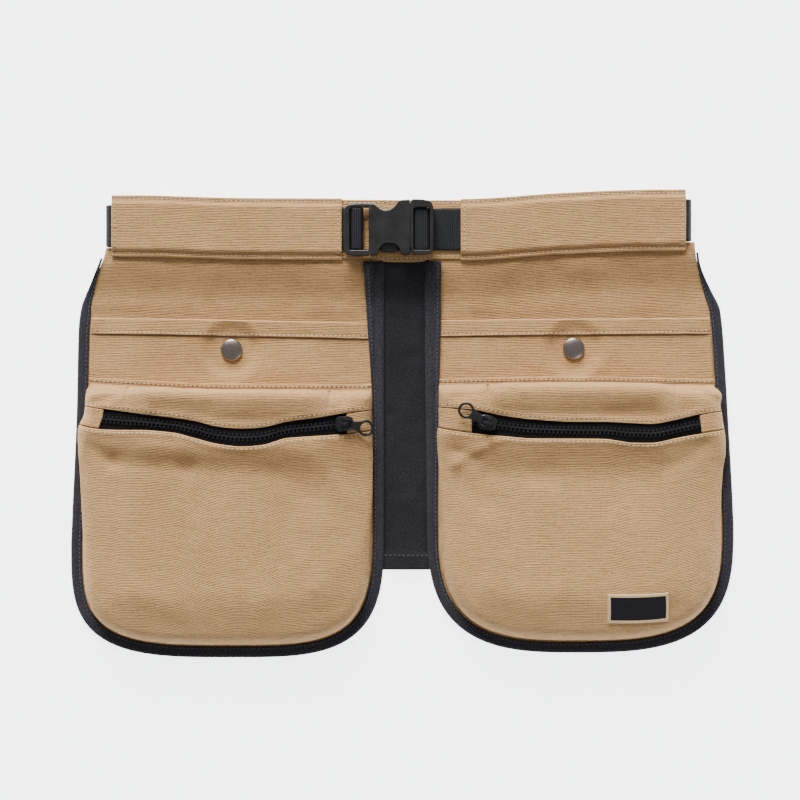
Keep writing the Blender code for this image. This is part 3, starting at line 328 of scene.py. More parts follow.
def pouchFace(pouch, u, v):
    # Patch height plus puff(v) times the wall's quarter circle round the sewn edge, less the
    # pleats; the sides lean out over the binding and the top rolls up over its seam
    u, v = np.broadcast_arrays(np.asarray(u, float), np.asarray(v, float))
    s, half = pocketShape, pouch["half"]
    flat = coons(pouch["pouchEdges"], u, v)
    away = reachToLine(flat[..., 0], flat[..., 1], pouch["line"])
    t = np.clip((away - s["pouchSeam"]) / s["pouchWall"], 0, 1)
    rise = np.sqrt(np.clip(1 - (1 - t) ** 2, 0, 1))
    ends = smoothStep((np.abs(u) - s["endsFrom"]) / s["endsOver"])
    height = (through(s["puff"][:, 0], s["puff"][:, 1], v) * (1 - ends)
              + through(s["puffEnds"][:, 0], s["puffEnds"][:, 1], v) * ends) * rise
    for across, depth in pouch["pleats"]:
        fold = np.exp(-(np.abs(u - across) * half / s["pleatSpread"]) ** 1.6)
        fade = np.clip(1 - v / pouch["zip"][0, 1], 0, 1) * (v > s["flange"])
        height = height - depth * fold * fade * smoothStep(height / 0.2)
    rows = pouch["lean"]
    lean = np.where(u > 0, through(rows[:, 0], rows[:, 2], v), through(rows[:, 0], rows[:, 1], v))
    side = smoothStep((np.abs(u) - s["leanFrom"]) / s["leanOver"])
    x = flat[..., 0] + pouch["sign"] * np.sign(u) * lean * plan["bindingWidth"] * side * smoothStep(height / 0.30)
    z = patchOuter(pouch, flat[..., 0], flat[..., 1]) + s["pouchGap"] + plan["cloth"] + s["pouchDepth"] * height
    middle = 1 - smoothStep((np.abs(u) - s["rollTo"]) / s["rollOver"])
    above = 1 - smoothStep((v - s["rollDown"]) / s["rollFade"])
    return stacked(x, flat[..., 1] + s["roll"] * smoothStep(height / 0.6) * middle * above, z)


def foldField(rows, x, y):  # sum of long soft ridges: height times a bell across each segment
    total = np.zeros(np.broadcast(x, y).shape)
    for ax, ay, bx, by, wide, high in rows:
        total += high * bell(reachToLine(x, y, np.array([[ax, ay], [bx, by]])), wide)
    return total


def zipEdge(pouch, u, row):  # row 1 is the upper edge, row 2 the lower, as shares of the length
    return through(pouch["zip"][:, 0], pouch["zip"][:, row], u)


def arc(grid, axis):  # running length along an axis of a grid of points
    step = np.linalg.norm(np.diff(grid, axis=axis), axis=-1)
    pad = [(0, 0), (0, 0)]
    pad[axis] = (1, 0)
    return np.cumsum(np.pad(step, pad), axis=axis)


def meshFrom(name, points, faces, uv=None, smooth=True):
    # Arrays straight into a mesh: vertices in metres, polygons of one size, UVs per vertex
    mesh = bpy.data.meshes.new(name)
    points, faces = np.asarray(points, float) * mm, np.asarray(faces, np.int32)
    count, size = faces.shape
    mesh.vertices.add(len(points))
    mesh.vertices.foreach_set("co", points.ravel())
    mesh.loops.add(count * size)
    mesh.loops.foreach_set("vertex_index", faces.ravel())
    mesh.polygons.add(count)
    mesh.polygons.foreach_set("loop_start", np.arange(0, count * size, size, dtype=np.int32))
    mesh.polygons.foreach_set("use_smooth", np.full(count, smooth))
    mesh.update(calc_edges=True)
    if uv is not None:
        layer = mesh.uv_layers.new(name="UVMap")
        layer.data.foreach_set("uv", (np.asarray(uv)[faces.ravel()] * mm).ravel())
    mesh.validate()
    obj = bpy.data.objects.new(name, mesh)
    bpy.context.scene.collection.objects.link(obj)
    return obj


def gridFaces(rows, cols, closed=False):  # quads between neighbouring rows and columns of points
    i, j = np.meshgrid(np.arange(rows - 1), np.arange(cols if closed else cols - 1), indexing="ij")
    a, b = (i * cols + j).ravel(), (i * cols + (j + 1) % cols).ravel()
    return stacked(a, b, b + cols, a + cols)


def halved(quads):  # each quad as two triangles
    return np.concatenate([quads[:, [0, 1, 2]], quads[:, [0, 2, 3]]])


def dress(obj, finish, body="apron", replaces=()):
    # One finish, the body it is attached to, and the solids it stands for, which are hidden
    obj.data.materials.clear()
    obj.data.materials.append(finish)
    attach(obj, body)
    if replaces:
        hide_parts(*replaces)
    return obj


def clothPiece(name, grid, finish, slot, replaces=(), thickness=None, uvShift=(0.0, 0.0),
               restsOn=(), held="laid", along=None, shade=None):
    # Sheet whose outer face is the grid; UVs are the real lengths across and down it, and a
    # Solidify modifier takes the thickness in from there. Shade is above 0 where an edge is made
    # paler, and below 0 where painted shade darkens a crease or the shadow under a step
    thickness = plan["cloth"] if thickness is None else thickness
    cols = grid.shape[1]
    faces = gridFaces(*grid.shape[:2])
    if along is None:
        wide, high = arc(grid, 1), arc(grid, 0)
        wide = wide - wide[:, cols // 2:cols // 2 + 1]
    else:
        wide, high = along
    uv = stacked(wide + uvShift[0], high + uvShift[1])
    flat = grid.reshape(-1, 3)
    a, b, c, d = (flat[faces[:, k]] for k in range(4))
    cross = np.cross(c - a, d - b)
    if cross[:, 2].sum() < 0:
        faces = faces[:, ::-1]
    obj = meshFrom(name, flat, faces, uv.reshape(-1, 2))
    if shade is not None:
        layer = obj.data.attributes.new("paleEdgeAndShade", "FLOAT", "POINT")
        layer.data.foreach_set("value", np.broadcast_to(shade, grid.shape[:2]).ravel().astype(np.float32))
    wall = obj.modifiers.new("Thickness", "SOLIDIFY")
    wall.thickness, wall.offset = thickness * mm, -1.0
    dress(obj, finish, replaces=replaces)
    return obj


def finePitch(total, pitch, ends=()):
    # Stations from 0 to total, pitch apart, with closer ones near each end in ends
    count = max(4, int(round(total / pitch)))
    values = [np.linspace(0, total, count + 1)]
    for end in ends:
        close = np.array([0.25, 0.6, 1.0, 1.5, 2.2])
        values.append(close if end == 0 else total - close)
    values = np.unique(np.concatenate(values).round(4))
    return values[np.insert(np.diff(values) > 0.2, 0, True)]


def rounded(distance, radius=0.8):  # drop of a soft folded edge: a quarter circle
    t = np.clip(1 - distance / radius, 0, 1)
    return radius * (1 - np.sqrt(np.clip(1 - t * t, 0, 1)))


def band(distance, low, high, soft=0.35):  # 1 between low and high, easing to 0 outside
    return smoothStep((distance - low + soft) / soft) * smoothStep((high + soft - distance) / soft)


def bell(distance, width):  # 1 at no distance, falling off as a Gaussian curve
    return np.exp(-(distance / width) ** 2)


def groove(distance, depth, width):  # a seam's thread pulls the cloth in along its line
    return depth * bell(distance, width)


print("plan and surface functions ready")

# Finishes: colours from light to dark, and pitches of the weaves
finishes = {
    "canvasLight": (0.680, 0.392, 0.158), "canvasDark": (0.290, 0.148, 0.046),
    "ribPitch": 1.15, "warpPitch": 0.80,
    "twillLight": (0.042, 0.040, 0.050), "twillDark": (0.003, 0.003, 0.004), "twillPitch": 1.25,
    "webbingLight": (0.014, 0.015, 0.020), "webbingDark": (0.002, 0.002, 0.003), "webbingRib": 1.60,
    # needleHole is the colour of the painted shade in the needle holes
    "thread": (0.800, 0.580, 0.340), "needleHole": (0.050, 0.028, 0.012),
    "blackThread": (0.070, 0.080, 0.110),
}


class Finish:
    # A node material: nodes are added by name, and values that stay the same sit on the shader
    def __init__(self, name, roughness, metallic=0.0, colour=(0.5, 0.5, 0.5), more=()):
        self.material = bpy.data.materials.new(name)
        self.material.use_nodes = True
        self.tree = self.material.node_tree
        self.shader = self.tree.nodes["Principled BSDF"]
        values = {"Roughness": roughness, "Metallic": metallic, "Base Color": (*colour, 1), **dict(more)}
        for socket, value in values.items():
            self.shader.inputs[socket].default_value = value
        coords = self.add("TexCoord")
        self.uv, self.place = coords["UV"], coords["Object"]

    def add(self, kind, sockets=(), **options):
        # A new node with its options, each socket holding a value or linked to an output
        node = self.tree.nodes.new("ShaderNode" + kind)
        for option, value in options.items():
            setattr(node, option, value)
        for key, value in dict(sockets).items():
            if isinstance(value, bpy.types.NodeSocket):
                self.tree.links.new(value, node.inputs[key])
            else:
                node.inputs[key].default_value = (*value, 1) if node.inputs[key].type == "RGBA" else value
        return node.outputs

    def math(self, kind, a, b=0.0):
        return self.add("Math", {0: a, 1: b}, operation=kind)[0]

    def split(self, vector):
        return self.add("SeparateXYZ", {0: vector})[:2]

    def scaled(self, vector, scale):
        return self.add("Mapping", {"Scale": scale, "Vector": vector})[0]

    def noise(self, vector, scale, detail, rough=0.55):
        return self.add("TexNoise", {"Scale": scale, "Detail": detail, "Roughness": rough, "Vector": vector})[0]

    def mix(self, kind, amount, a, b):
        return self.add("Mix", {0: amount, 6: a, 7: b}, data_type="RGBA", blend_type=kind)[2]

    def ramp(self, value, low, high, lowColour, highColour):
        outputs = self.add("ValToRGB", {0: value})
        for step, at, colour in zip(outputs[0].node.color_ramp.elements, (low, high), (lowColour, highColour)):
            step.position, step.color = at, (*colour, 1)
        return outputs[0]

    def total(self, *pairs):  # sum of each value times its weight
        terms = [self.math("MULTIPLY", value, weight) for value, weight in pairs]
        while len(terms) > 1:
            terms[:2] = [self.math("ADD", *terms[:2])]
        return terms[0]

    def ribs(self, value, pitch, power=1.0):
        # |sin| with one crest each pitch in mm; a power below 1 widens the crests
        wave = self.math("ABSOLUTE", self.math("SINE", self.math("MULTIPLY", value, math.pi * 1000 / pitch)))
        return self.math("POWER", wave, power)

    def crossed(self, ribs, threads, depth):  # ribs times threads that cut depth into them
        return self.math("MULTIPLY", ribs, self.math("ADD", self.math("MULTIPLY", threads, depth), 1 - depth))

    def mottled(self, colour, scale, shade):  # colour shaded in soft patches
        patchy = self.ramp(self.noise(self.place, scale, 3.0), 0.30, 0.70, shade, (1.0, 1.0, 1.0))
        return self.mix("MULTIPLY", 1.0, colour, patchy)

    def paint(self, source, socket="Base Color"):
        self.tree.links.new(source, self.shader.inputs[socket])

    def bump(self, height, distance, strength):
        self.paint(self.add("Bump", {"Distance": distance, "Strength": strength, "Height": height})[0], "Normal")


def shaded(colour, amount):  # a colour times an amount, at most 1
    return tuple(min(1, c * amount) for c in colour)


def canvasFinish(name):
    # Plain weave with strong cross ribs: |sin| along the length times an alternating warp, with
    # thick and thin yarns from noise stretched along the ribs; paler edges, and painted shade in creases
    s = Finish(name, 0.9, more={"Sheen Weight": 0.12, "Sheen Roughness": 0.6})
    x, y = s.split(s.uv)
    wobble = s.noise(s.scaled(s.uv, (55, 400, 1)), 1.0, 2.0)
    wobble = s.math("MULTIPLY", s.math("SUBTRACT", wobble, 0.5), 0.9)
    rib = s.math("ADD", s.math("MULTIPLY", y, 1000 / finishes["ribPitch"]), wobble)
    warp = s.total((x, 1000 / finishes["warpPitch"] * math.pi), (s.math("FLOOR", rib), math.pi / 2))
    weave = s.crossed(s.ribs(rib, 1000, 0.7), s.math("ABSOLUTE", s.math("SINE", warp)), 0.45)
    slub = s.noise(s.scaled(s.uv, (90, 1150, 1)), 1.0, 3.0)
    fleck, grain = s.noise(s.uv, 1500.0, 2.0), s.noise(s.uv, 560.0, 2.0)
    tone = s.total((weave, 0.50), (slub, 0.55), (fleck, 0.35), (grain, 0.50))
    colour = s.ramp(tone, 0.80, 1.14, finishes["canvasDark"], finishes["canvasLight"])
    colour = s.mottled(colour, 16.0, (0.90, 0.88, 0.85))
    # Attribute above 0 mixes in a paler canvas along edges; below 0 it multiplies in painted shade where creases and
    # hem steps are shaded
    paleAndShade = s.add("Attribute", attribute_name="paleEdgeAndShade")["Fac"]
    paintedShade = s.math("MULTIPLY", paleAndShade, -1.0)
    colour = s.mix("MIX", s.math("MAXIMUM", paleAndShade, 0.0), colour, shaded(finishes["canvasLight"], 1.15))
    s.paint(s.mix("MULTIPLY", s.math("MAXIMUM", paintedShade, 0.0), colour, (0.22, 0.17, 0.12)))
    s.bump(s.total((weave, 1.0), (slub, 0.7)), 0.00036, 1.0)
    return s.material


def twillFinish(name, paintedLightGain=1.0):
    # Diagonal ribs cut by finer ones the other way, flecked with paler fibres
    s = Finish(name, 0.88, more={"Sheen Weight": 0.05, "Specular IOR Level": 0.18})
    x, y = s.split(s.uv)
    crest = s.ribs(s.math("ADD", x, y), finishes["twillPitch"], 0.8)
    weave = s.crossed(crest, s.ribs(s.math("SUBTRACT", x, y), 0.7), 0.4)
    fleck = s.noise(s.uv, 760.0, 3.0, 0.7)
    tone = s.total((weave, 0.45), (fleck, 0.80))
    colour = s.ramp(tone, 0.42, 0.98, finishes["twillDark"], shaded(finishes["twillLight"], paintedLightGain))
    s.paint(s.mottled(colour, 22.0, (0.82, 0.82, 0.84)))
    s.bump(s.total((weave, 1.0), (fleck, 0.3)), 0.0002, 0.8)
    return s.material


def webbingFinish(name):
    # Ribs across the strap with a fine thread grid on them; u runs along the strap
    s = Finish(name, 0.62, more={"Specular IOR Level": 0.3})
    x, y = s.split(s.uv)
    weave = s.total((s.ribs(x, finishes["webbingRib"], 0.6), 1.0), (s.ribs(y, 0.9), 0.35))
    tone = s.total((weave, 0.55), (s.noise(s.uv, 900.0, 2.0), 0.35))
    s.paint(s.ramp(tone, 0.25, 0.95, finishes["webbingDark"], finishes["webbingLight"]))
    s.bump(weave, 0.0003, 0.9)
    return s.material


def zipTapeFinish(name):
    # Fine herringbone tape: diagonal ribs 0.7 mm apart that turn back every 1.6 mm
    s = Finish(name, 0.75, more={"Specular IOR Level": 0.15})
    x, y = s.split(s.uv)
    zig = s.math("PINGPONG", s.math("MULTIPLY", y, 1000 / 1.6), 1.0)
    line = s.ribs(s.math("ADD", s.math("MULTIPLY", x, 1000 / 0.7), zig), 1000)
    tone = s.total((line, 0.5), (s.noise(s.uv, 1200.0, 2.0), 0.5))
    s.paint(s.ramp(tone, 0.25, 0.95, (0.0015, 0.0015, 0.002), (0.009, 0.009, 0.011)))
    s.bump(line, 0.00012, 0.8)
    return s.material


def plasticFinish(name, colour, roughness):
    # Moulded plastic: fine spark-eroded grain, slightly cloudy gloss
    s = Finish(name, roughness, colour=colour)
    hazy = s.noise(s.place, 90.0, 3.0)
    s.paint(s.ramp(hazy, 0.3, 0.75, shaded(colour, 0.8), shaded(colour, 1.45)))
    s.paint(s.ramp(hazy, 0.25, 0.8, (roughness - 0.05,) * 3, (roughness + 0.12,) * 3), "Roughness")
    s.bump(s.noise(s.place, 2600.0, 2.0), 0.00004, 0.6)
    return s.material


def metalFinish(name, light, dark, roughness, metallic, grain):
    # Plated metal: darker in the hollows of a mottled noise, with fine scratches
    s = Finish(name, roughness, metallic, light)
    mottle = s.noise(s.place, grain, 4.0, 0.65)
    s.paint(s.ramp(mottle, 0.32, 0.72, dark, light))
    s.paint(s.ramp(mottle, 0.3, 0.8, (roughness + 0.14,) * 3, (roughness - 0.04,) * 3), "Roughness")
    s.bump(s.noise(s.scaled(s.place, (2500, 260, 260)), 1.0, 2.0), 0.00002, 0.5)
    return s.material


def threadFinish(name, colour):
    # Twisted thread: a fine diagonal ripple in colour and bump
    s = Finish(name, 0.7, colour=colour)
    twist = s.noise(s.place, 2400.0, 2.0)
    s.paint(s.ramp(twist, 0.3, 0.7, shaded(colour, 0.72), colour))
    s.bump(twist, 0.00005, 0.7)
    return s.material


tanCanvas = canvasFinish("ribbedTanCanvas")
blackTwill = twillFinish("blackTwill")
# The binding's copy of the twill is 1.9 times lighter: painted light making up for the shade its rounded tape falls
# into
bindingTwill = twillFinish("blackBindingTwill", paintedLightGain=1.9)
blackWebbing = webbingFinish("ribbedBlackWebbing")
zipTapeBlack = zipTapeFinish("blackZipTape")
zipTeethBlack = plasticFinish("mouldedZipTeeth", (0.011, 0.011, 0.013), 0.30)
bucklePlastic = plasticFinish("satinBucklePlastic", (0.0170, 0.0160, 0.0165), 0.36)
antiqueNickel = metalFinish("antiqueNickel", (0.40, 0.33, 0.29), (0.33, 0.27, 0.24), 0.24, 1.0, 300.0)
blackMetal = metalFinish("satinBlackMetal", (0.060, 0.058, 0.062), (0.045, 0.044, 0.047), 0.28, 0.85, 120.0)
tanThread = threadFinish("tanThread", finishes["thread"])
blackThread = threadFinish("blackThread", finishes["blackThread"])
holeShade = threadFinish("needleHoleShade", finishes["needleHole"])
print("finishes ready")


def canvasPiece(name, grid, solid, **more):  # a cloth piece of the tan canvas
    return clothPiece(name, grid, tanCanvas, "tan_canvas", [solid], **more)


# Stitching: a thread piece is a small spindle that lies along the seam, with a dark dot of
# painted shade for the needle hole at each end; a seam's stitches are worked out as one array
stitching = {"pitch": 3.3, "length": 2.35, "width": 0.78, "height": 0.46, "hole": 0.48, "stand": 0.10,
             "holeStand": 0.02, "holeHeight": 0.06, "uneven": 0.035, "skew": 0.05}


def spindle(sections=5, around=6):  # unit spindle along x: half-width follows a flattened circle
    t = np.linspace(-1, 1, sections)
    fat = (1 - t ** 4) ** 0.5 * 0.92 + 0.08
    a = np.linspace(0, 2 * math.pi, around, endpoint=False)
    ring = stacked(np.repeat(t, around), np.outer(fat, np.cos(a)).ravel(), np.outer(fat, np.sin(a)).ravel())
    points = np.concatenate([ring, [[-1, 0, 0], [1, 0, 0]]])
    k, last, end = np.arange(around), (sections - 1) * around, sections * around
    n = (k + 1) % around
    faces = np.concatenate([halved(gridFaces(sections, around, closed=True)), stacked(end, n, k),
                            stacked(end + 1, last + k, last + n)])
    return points, faces[:, ::-1]


def dotShape():  # flat eight-sided button, closed underneath
    a = np.linspace(0, 2 * math.pi, 8, endpoint=False)
    ring = stacked(np.cos(a), np.sin(a))
    top = np.column_stack([ring * 0.85, np.full(8, 0.5)])
    low = np.column_stack([ring, np.full(8, -1.0)])
    points = np.concatenate([top, low, [[0, 0, 0.5], [0, 0, -1.0]]])
    k = np.arange(8)
    n = (k + 1) % 8
    faces = np.concatenate([stacked(k, n, 16), stacked(n + 8, k + 8, 17), stacked(k + 8, n + 8, n),
                            stacked(k + 8, n, k)])
    return points, faces


spindleShape, dot = spindle(), dotShape()


def scatter(shape, centres, xs, ys, zs, size):
    # Copies of a shape, one per centre, scaled by size in the frame of the three unit vectors
    points, faces = shape
    local = points[None] * np.asarray(size, float)
    world = (centres[:, None] + local[..., :1] * xs[:, None] + local[..., 1:2] * ys[:, None]
             + local[..., 2:] * zs[:, None])
    offset = np.arange(len(centres))[:, None, None] * len(points)
    return world.reshape(-1, 3), (faces[None] + offset).reshape(-1, 3)


def joined(parts):
    # Several (points, faces) as one, with each part's faces numbered on from the parts before it
    starts = np.cumsum([0] + [len(points) for points, faces in parts])
    return (np.concatenate([points for points, faces in parts]),
            np.concatenate([faces + start for (points, faces), start in zip(parts, starts)]))


class Seams:
    # Collects the stitches of one colour and the dots of painted shade at their needle holes, and makes one piece of
    # each
    def __init__(self, name, finish, slot):
        self.name, self.finish, self.slot = name, finish, slot
        self.rows = []

    def line(self, path, normal, pitch=stitching["pitch"], start=0.0, seed=5):
        # Stitches evenly along a path of points with a normal at each, a little uneven in place
        # and direction
        long = runOf(path)[-1]
        count = max(2, int((long - 2 * start) / pitch))
        shares = (np.arange(count) + 0.5) / count * (long - 2 * start) / long + start / long
        rng = np.random.default_rng(seed)
        shares = shares + rng.normal(0, stitching["uneven"] * pitch / long, count)
        reach = 0.3 * pitch / long
        along = unit(alongLine(path, np.clip(shares + reach, 0, 1)) - alongLine(path, np.clip(shares - reach, 0, 1)))
        side = unit(np.cross(unit(alongLine(path, shares, normal)), along))
        along = along + side * rng.normal(0, stitching["skew"], (count, 1))
        self.rows.append((alongLine(path, shares), along, side, np.cross(along, side), pitch))

    def build(self, holes=True):
        # A spindle for each stitch, and a dot of painted needle-hole shade at its end and before the first one
        threads, pits, look = [], [], stitching
        for centre, along, side, up, pitch in self.rows:
            size = (look["length"] / 2 * pitch / look["pitch"], look["width"] / 2, look["height"] / 2)
            threads.append(scatter(spindleShape, centre + up * look["stand"], along, side, up, size))
            size = (look["hole"] * 0.8, look["hole"], look["holeHeight"])
            for end, k in ((-1, 1), (1, len(centre))) if holes else ():
                at = (centre + along * end * (pitch / 2) + up * look["holeStand"])[:k]
                pits.append(scatter(dot, at, along[:k], side[:k], up[:k], size))
        dress(meshFrom(self.name + "Stitches", *joined(threads)), self.finish)
        if holes:
            dress(meshFrom(self.name + "HoleShadeDots", *joined(pits)), holeShade)


def normalOf(surface, u, v, step):  # unit cross product of a surface's differences across and down
    return unit(np.cross(surface(u + step, v) - surface(u - step, v), surface(u, v + step) - surface(u, v - step)))


def seamOn(surface, us, vs):  # points of a surface along a line of parameters, and normals that face up
    n = normalOf(surface, us, vs, 0.0015)
    return surface(us, vs), np.where(n[..., 2:] < 0, -n, n)


beltSeams = Seams("belt", tanThread, "tan_canvas")
blackSeams = Seams("binding", blackThread, "black_twill")
pouchSeams = {name: Seams(name.lower() + "Pouch", tanThread, "tan_canvas") for name in ("Left", "Right")}

# Waistband: a plain band behind and two sleeves that swell over the webbing, turned under at
# their edges and topstitched
belt = {"left": -wholeWidth * 0.4345, "right": wholeWidth * 0.4235, "pitch": 1.4, "hem": 2.4,
        "channelWebRoom": 1.2, "dip": 2.2, "dipHalf": 17, "endSeam": 2.6, "bandRipple": 0.10, "ripple": 0.30,
        "pucker": 0.34, "puckerAt": 4.6, "puckerWide": 2.6}


def bandSurface(x, s, height, top):
    # s runs from -0.5 to 0.5 across the band; gentle ripples, and rolled edges
    y = waistLine(x) + s * height - belt["dip"] * np.exp(-(x / belt["dipHalf"]) ** 6) * (s < 0) * (-2 * s)
    edge = (0.5 - np.abs(s)) * height
    z = top - rounded(edge, 0.7) - groove(edge - belt["hem"], 0.22, 0.8)
    z = z + belt["bandRipple"] * cloud(x, y, 16, 3) * smoothStep(edge / 5)
    return stacked(x, y, z)


def channelSurface(x, s, ends, seed):
    # Flat sewn edges, raised over the webbing, with small puckers along both seams
    height = plan["waistHeight"]
    reach = (plan["webbingWidth"] / 2 + belt["channelWebRoom"]) / height
    flat, raised = beltUnder + plan["cloth"], beltOver + plan["gap"] + plan["cloth"]
    y = waistLine(x) + s * height
    edge = (0.5 - np.abs(s)) * height
    z = flat + (raised - flat) * (1 - smoothStep((np.abs(s) - reach + 0.01) / 0.075))
    pucker = bell(edge - belt["puckerAt"], belt["puckerWide"])
    z = z + pucker * (belt["pucker"] * cloud(x, y * 0.35, 7.5, seed) + 0.10)
    z = z + belt["ripple"] * cloud(x * 0.6, y, 24, seed + 1) * smoothStep(edge / 8)
    z = z - rounded(edge, 0.8) - groove(edge - belt["hem"], 0.30, 0.75)
    away = np.minimum(np.abs(x - ends[0]), np.abs(ends[1] - x))
    z = z - rounded(away, 0.8) - groove(away - belt["endSeam"], 0.25, 0.75)
    return stacked(x, y, z)


def acrossBand(height, pitch):  # stations from -0.5 to 0.5 across a band, closer at its edges
    return finePitch(height, pitch, (0, 1)) / height - 0.5


xs = np.linspace(belt["left"], belt["right"], int((belt["right"] - belt["left"]) / 2.0))
bandRows = acrossBand(plan["bandHeight"], 1.6)
bandTop = bandUnder + plan["cloth"]
canvasPiece("waistbandCanvas", bandSurface(xs[None, :], bandRows[:, None], plan["bandHeight"], bandTop),
            "waistband_base", restsOn=["belt_webbing"], held="stretched")
channelEnds = {"Left": (belt["left"] - 1.0, -43.2), "Right": (41.7, belt["right"] + 1.0)}
for name, (x0, x1) in channelEnds.items():
    xs = x0 + finePitch(x1 - x0, belt["pitch"], (0, 1))
    rows = acrossBand(plan["waistHeight"], 1.2)
    skin = lambda x, s, e=(x0, x1), k=len(name): channelSurface(x, s, e, k)
    h = plan["waistHeight"]
    fromEdge = (0.5 - np.abs(rows))[:, None] * h
    # Shade: paler along the turned edges, and a line of painted shade 3.4 to 4.2 mm in, beside the hem seam
    canvasPiece("channel" + name, skin(xs[None, :], rows[:, None]), "belt_channel_" + name.lower(),
                restsOn=["waistbandCanvas"], held="stretched",
                shade=0.45 * band(fromEdge, -1.0, 0.7) - 0.35 * band(fromEdge, 3.4, 4.2))
    line = np.linspace(x0 + 1.2, x1 - 1.2, 240)
    for s in (0.5 - belt["hem"] / h, -0.5 + belt["hem"] / h):
        beltSeams.line(*seamOn(skin, line, np.full(240, s)), seed=int(abs(s) * 100) + len(name))
    down = np.linspace(-0.5 + 3.5 / h, 0.5 - 3.5 / h, 60)
    for x in (x0 + belt["endSeam"], x1 - belt["endSeam"]):
        beltSeams.line(*seamOn(skin, np.full(60, x), down), seed=3)
line = np.linspace(-42, 41, 120)
skin = lambda x, s: bandSurface(x, s, plan["bandHeight"], bandTop)
for s in (0.5 - belt["hem"] / plan["bandHeight"], -0.5 + belt["hem"] / plan["bandHeight"]):
    beltSeams.line(*seamOn(skin, line, np.full(120, s)), seed=9)
print("waistband and channels ready")

# Belt: one strap along a path in X and Z, round both buckle bars and back behind the apron
strap = {"femaleBarX": -32.5, "maleBarX": 13.8, "femaleBar": 4.6, "maleBar": 7.4, "barThick": 2.6,
         "barCorner": 0.7, "ribs": 0.10}


def strapLoop(barX, barWidth, toward):
    # Path round a buckle bar in X and Z: half a turn at the far end, then back under the near end
    radius = strap["barThick"] / 2 + plan["gap"] + plan["webbing"] / 2
    flat = barWidth / 2 - strap["barThick"] / 2 + strap["barCorner"]
    a = np.radians(np.linspace(-90, 90, 22))
    far = stacked(flat + radius * np.cos(a), radius * np.sin(a))
    a = np.radians(np.linspace(90, 198, 24))
    near = stacked(-flat + radius * np.cos(a), radius * np.sin(a))
    path = np.concatenate([far, near])
    centre = beltOver + plan["gap"] + strap["barThick"] / 2
    return stacked(barX - toward * path[:, 0], centre + path[:, 1])


front, back = beltUnder + plan["webbing"] / 2, plan["webbing"] / 2
bend = beltOver / 2 - plan["webbing"] / 2
turn = np.radians(np.linspace(90, -90, 30))[:, None]
turnX, turnZ = bend * np.cos(turn), bend * np.sin(turn)
maleLoop = strapLoop(strap["maleBarX"], strap["maleBar"], 1)[::-1]
femaleLoop = strapLoop(strap["femaleBarX"], strap["femaleBar"], -1)
mid = (front + back) / 2
strapPath = np.concatenate([
    maleLoop, [[belt["right"] - 1.0, front]],
    np.concatenate([belt["right"] + turnX, mid + turnZ], axis=1), [[belt["left"] + 1.0, back]],
    np.concatenate([belt["left"] - turnX, mid - turnZ], axis=1), femaleLoop])
stations = np.arange(0, runOf(strapPath)[-1], 0.8)
path = alongLine(strapPath, stations / runOf(strapPath)[-1])
tangent = unit(np.gradient(path, axis=0))
across = stacked(-tangent[:, 1], tangent[:, 0])
# Section of the strap: a flat oblong with round edges, and ribs that swell with the run
half, thick = plan["webbingWidth"] / 2, plan["webbing"] / 2
edgeAngles = np.radians(np.linspace(-90, 90, 7))
widthLine = np.linspace(-half + thick, half - thick, 15)
section = np.concatenate([
    stacked(widthLine, thick),
    stacked(half - thick + thick * np.cos(edgeAngles[::-1]), thick * np.sin(edgeAngles[::-1]))[1:-1],
    stacked(widthLine[::-1], -thick),
    stacked(-half + thick - thick * np.cos(edgeAngles), thick * np.sin(edgeAngles))[1:-1]])
swell = 1 - strap["ribs"] * (0.5 - 0.5 * np.cos(2 * math.pi * stations / finishes["webbingRib"]))
out = path[:, None, :] + across[:, None, :] * (section[None, :, 1] * swell[:, None])[..., None]
points = stacked(out[..., 0], waistLine(out[..., 0]) + section[None, :, 0], out[..., 1])
faces = gridFaces(*points.shape[:2], closed=True)
uv = stacked(stations[:, None], runOf(section)[None, :]).reshape(-1, 2)
beltStrap = meshFrom("beltStrap", points.reshape(-1, 3), faces[:, ::-1], uv)
dress(beltStrap, blackWebbing, replaces=["belt_webbing"])
work = bmesh.new()
work.from_mesh(beltStrap.data)
bmesh.ops.holes_fill(work, edges=[e for e in work.edges if e.is_boundary], sides=0)
bmesh.ops.recalc_face_normals(work, faces=work.faces)
work.to_mesh(beltStrap.data)
work.free()
print("belt strap ready")

# Back panels: sewn under the waistband, with a slight ripple where they hang
panelLook = {"pitch": 2.2, "ripple": 0.75, "bindingPitch": 1.6, "bindingSeam": 1.7, "overPocket": 1.9,
             "overFrom": 7.6, "overRun": 1.2, "bindingCloth": 0.9, "stitchPitch": 3.0, "pinch": 0.35,
             "hang": 0.45, "narrowest": 0.15, "narrowRun": 45, "bindingRipple": 0.12}


def panelHeadLine(x):  # Y of a panel's upper edge, hidden under the waistband
    return waistLine(x) - plan["waistHeight"] / 2 + panelHead


def panelSurface(pouch, edges):
    # Panel height, raised near the waist, plus a ripple and small pinches where it can be seen
    def at(u, v):
        flat = coons(edges, u, v)
        x, y = flat[..., 0], flat[..., 1]
        below = waistLine(x) - plan["waistHeight"] / 2 - y
        shown = smoothStep(below / 6) * smoothStep((y - mouthLine(pouch, x) - 2) / 8)
        fade = shown * smoothStep((1 - np.abs(u)) * pouch["half"] / 8)
        wave = cloud(x, y * 0.6, 26, pouch["seed"]) + 0.35 * cloud(x, y, 11, pouch["seed"] + 1)
        pinch = panelLook["pinch"] * bell(below - 3, 4) * cloud(x, y * 0.3, 9, pouch["seed"] + 2) * fade
        hang = (panelLook["ripple"] * wave + panelLook["hang"]) * fade
        return stacked(x, y, lift(x, y) + panelOver + hang + pinch)
    return at


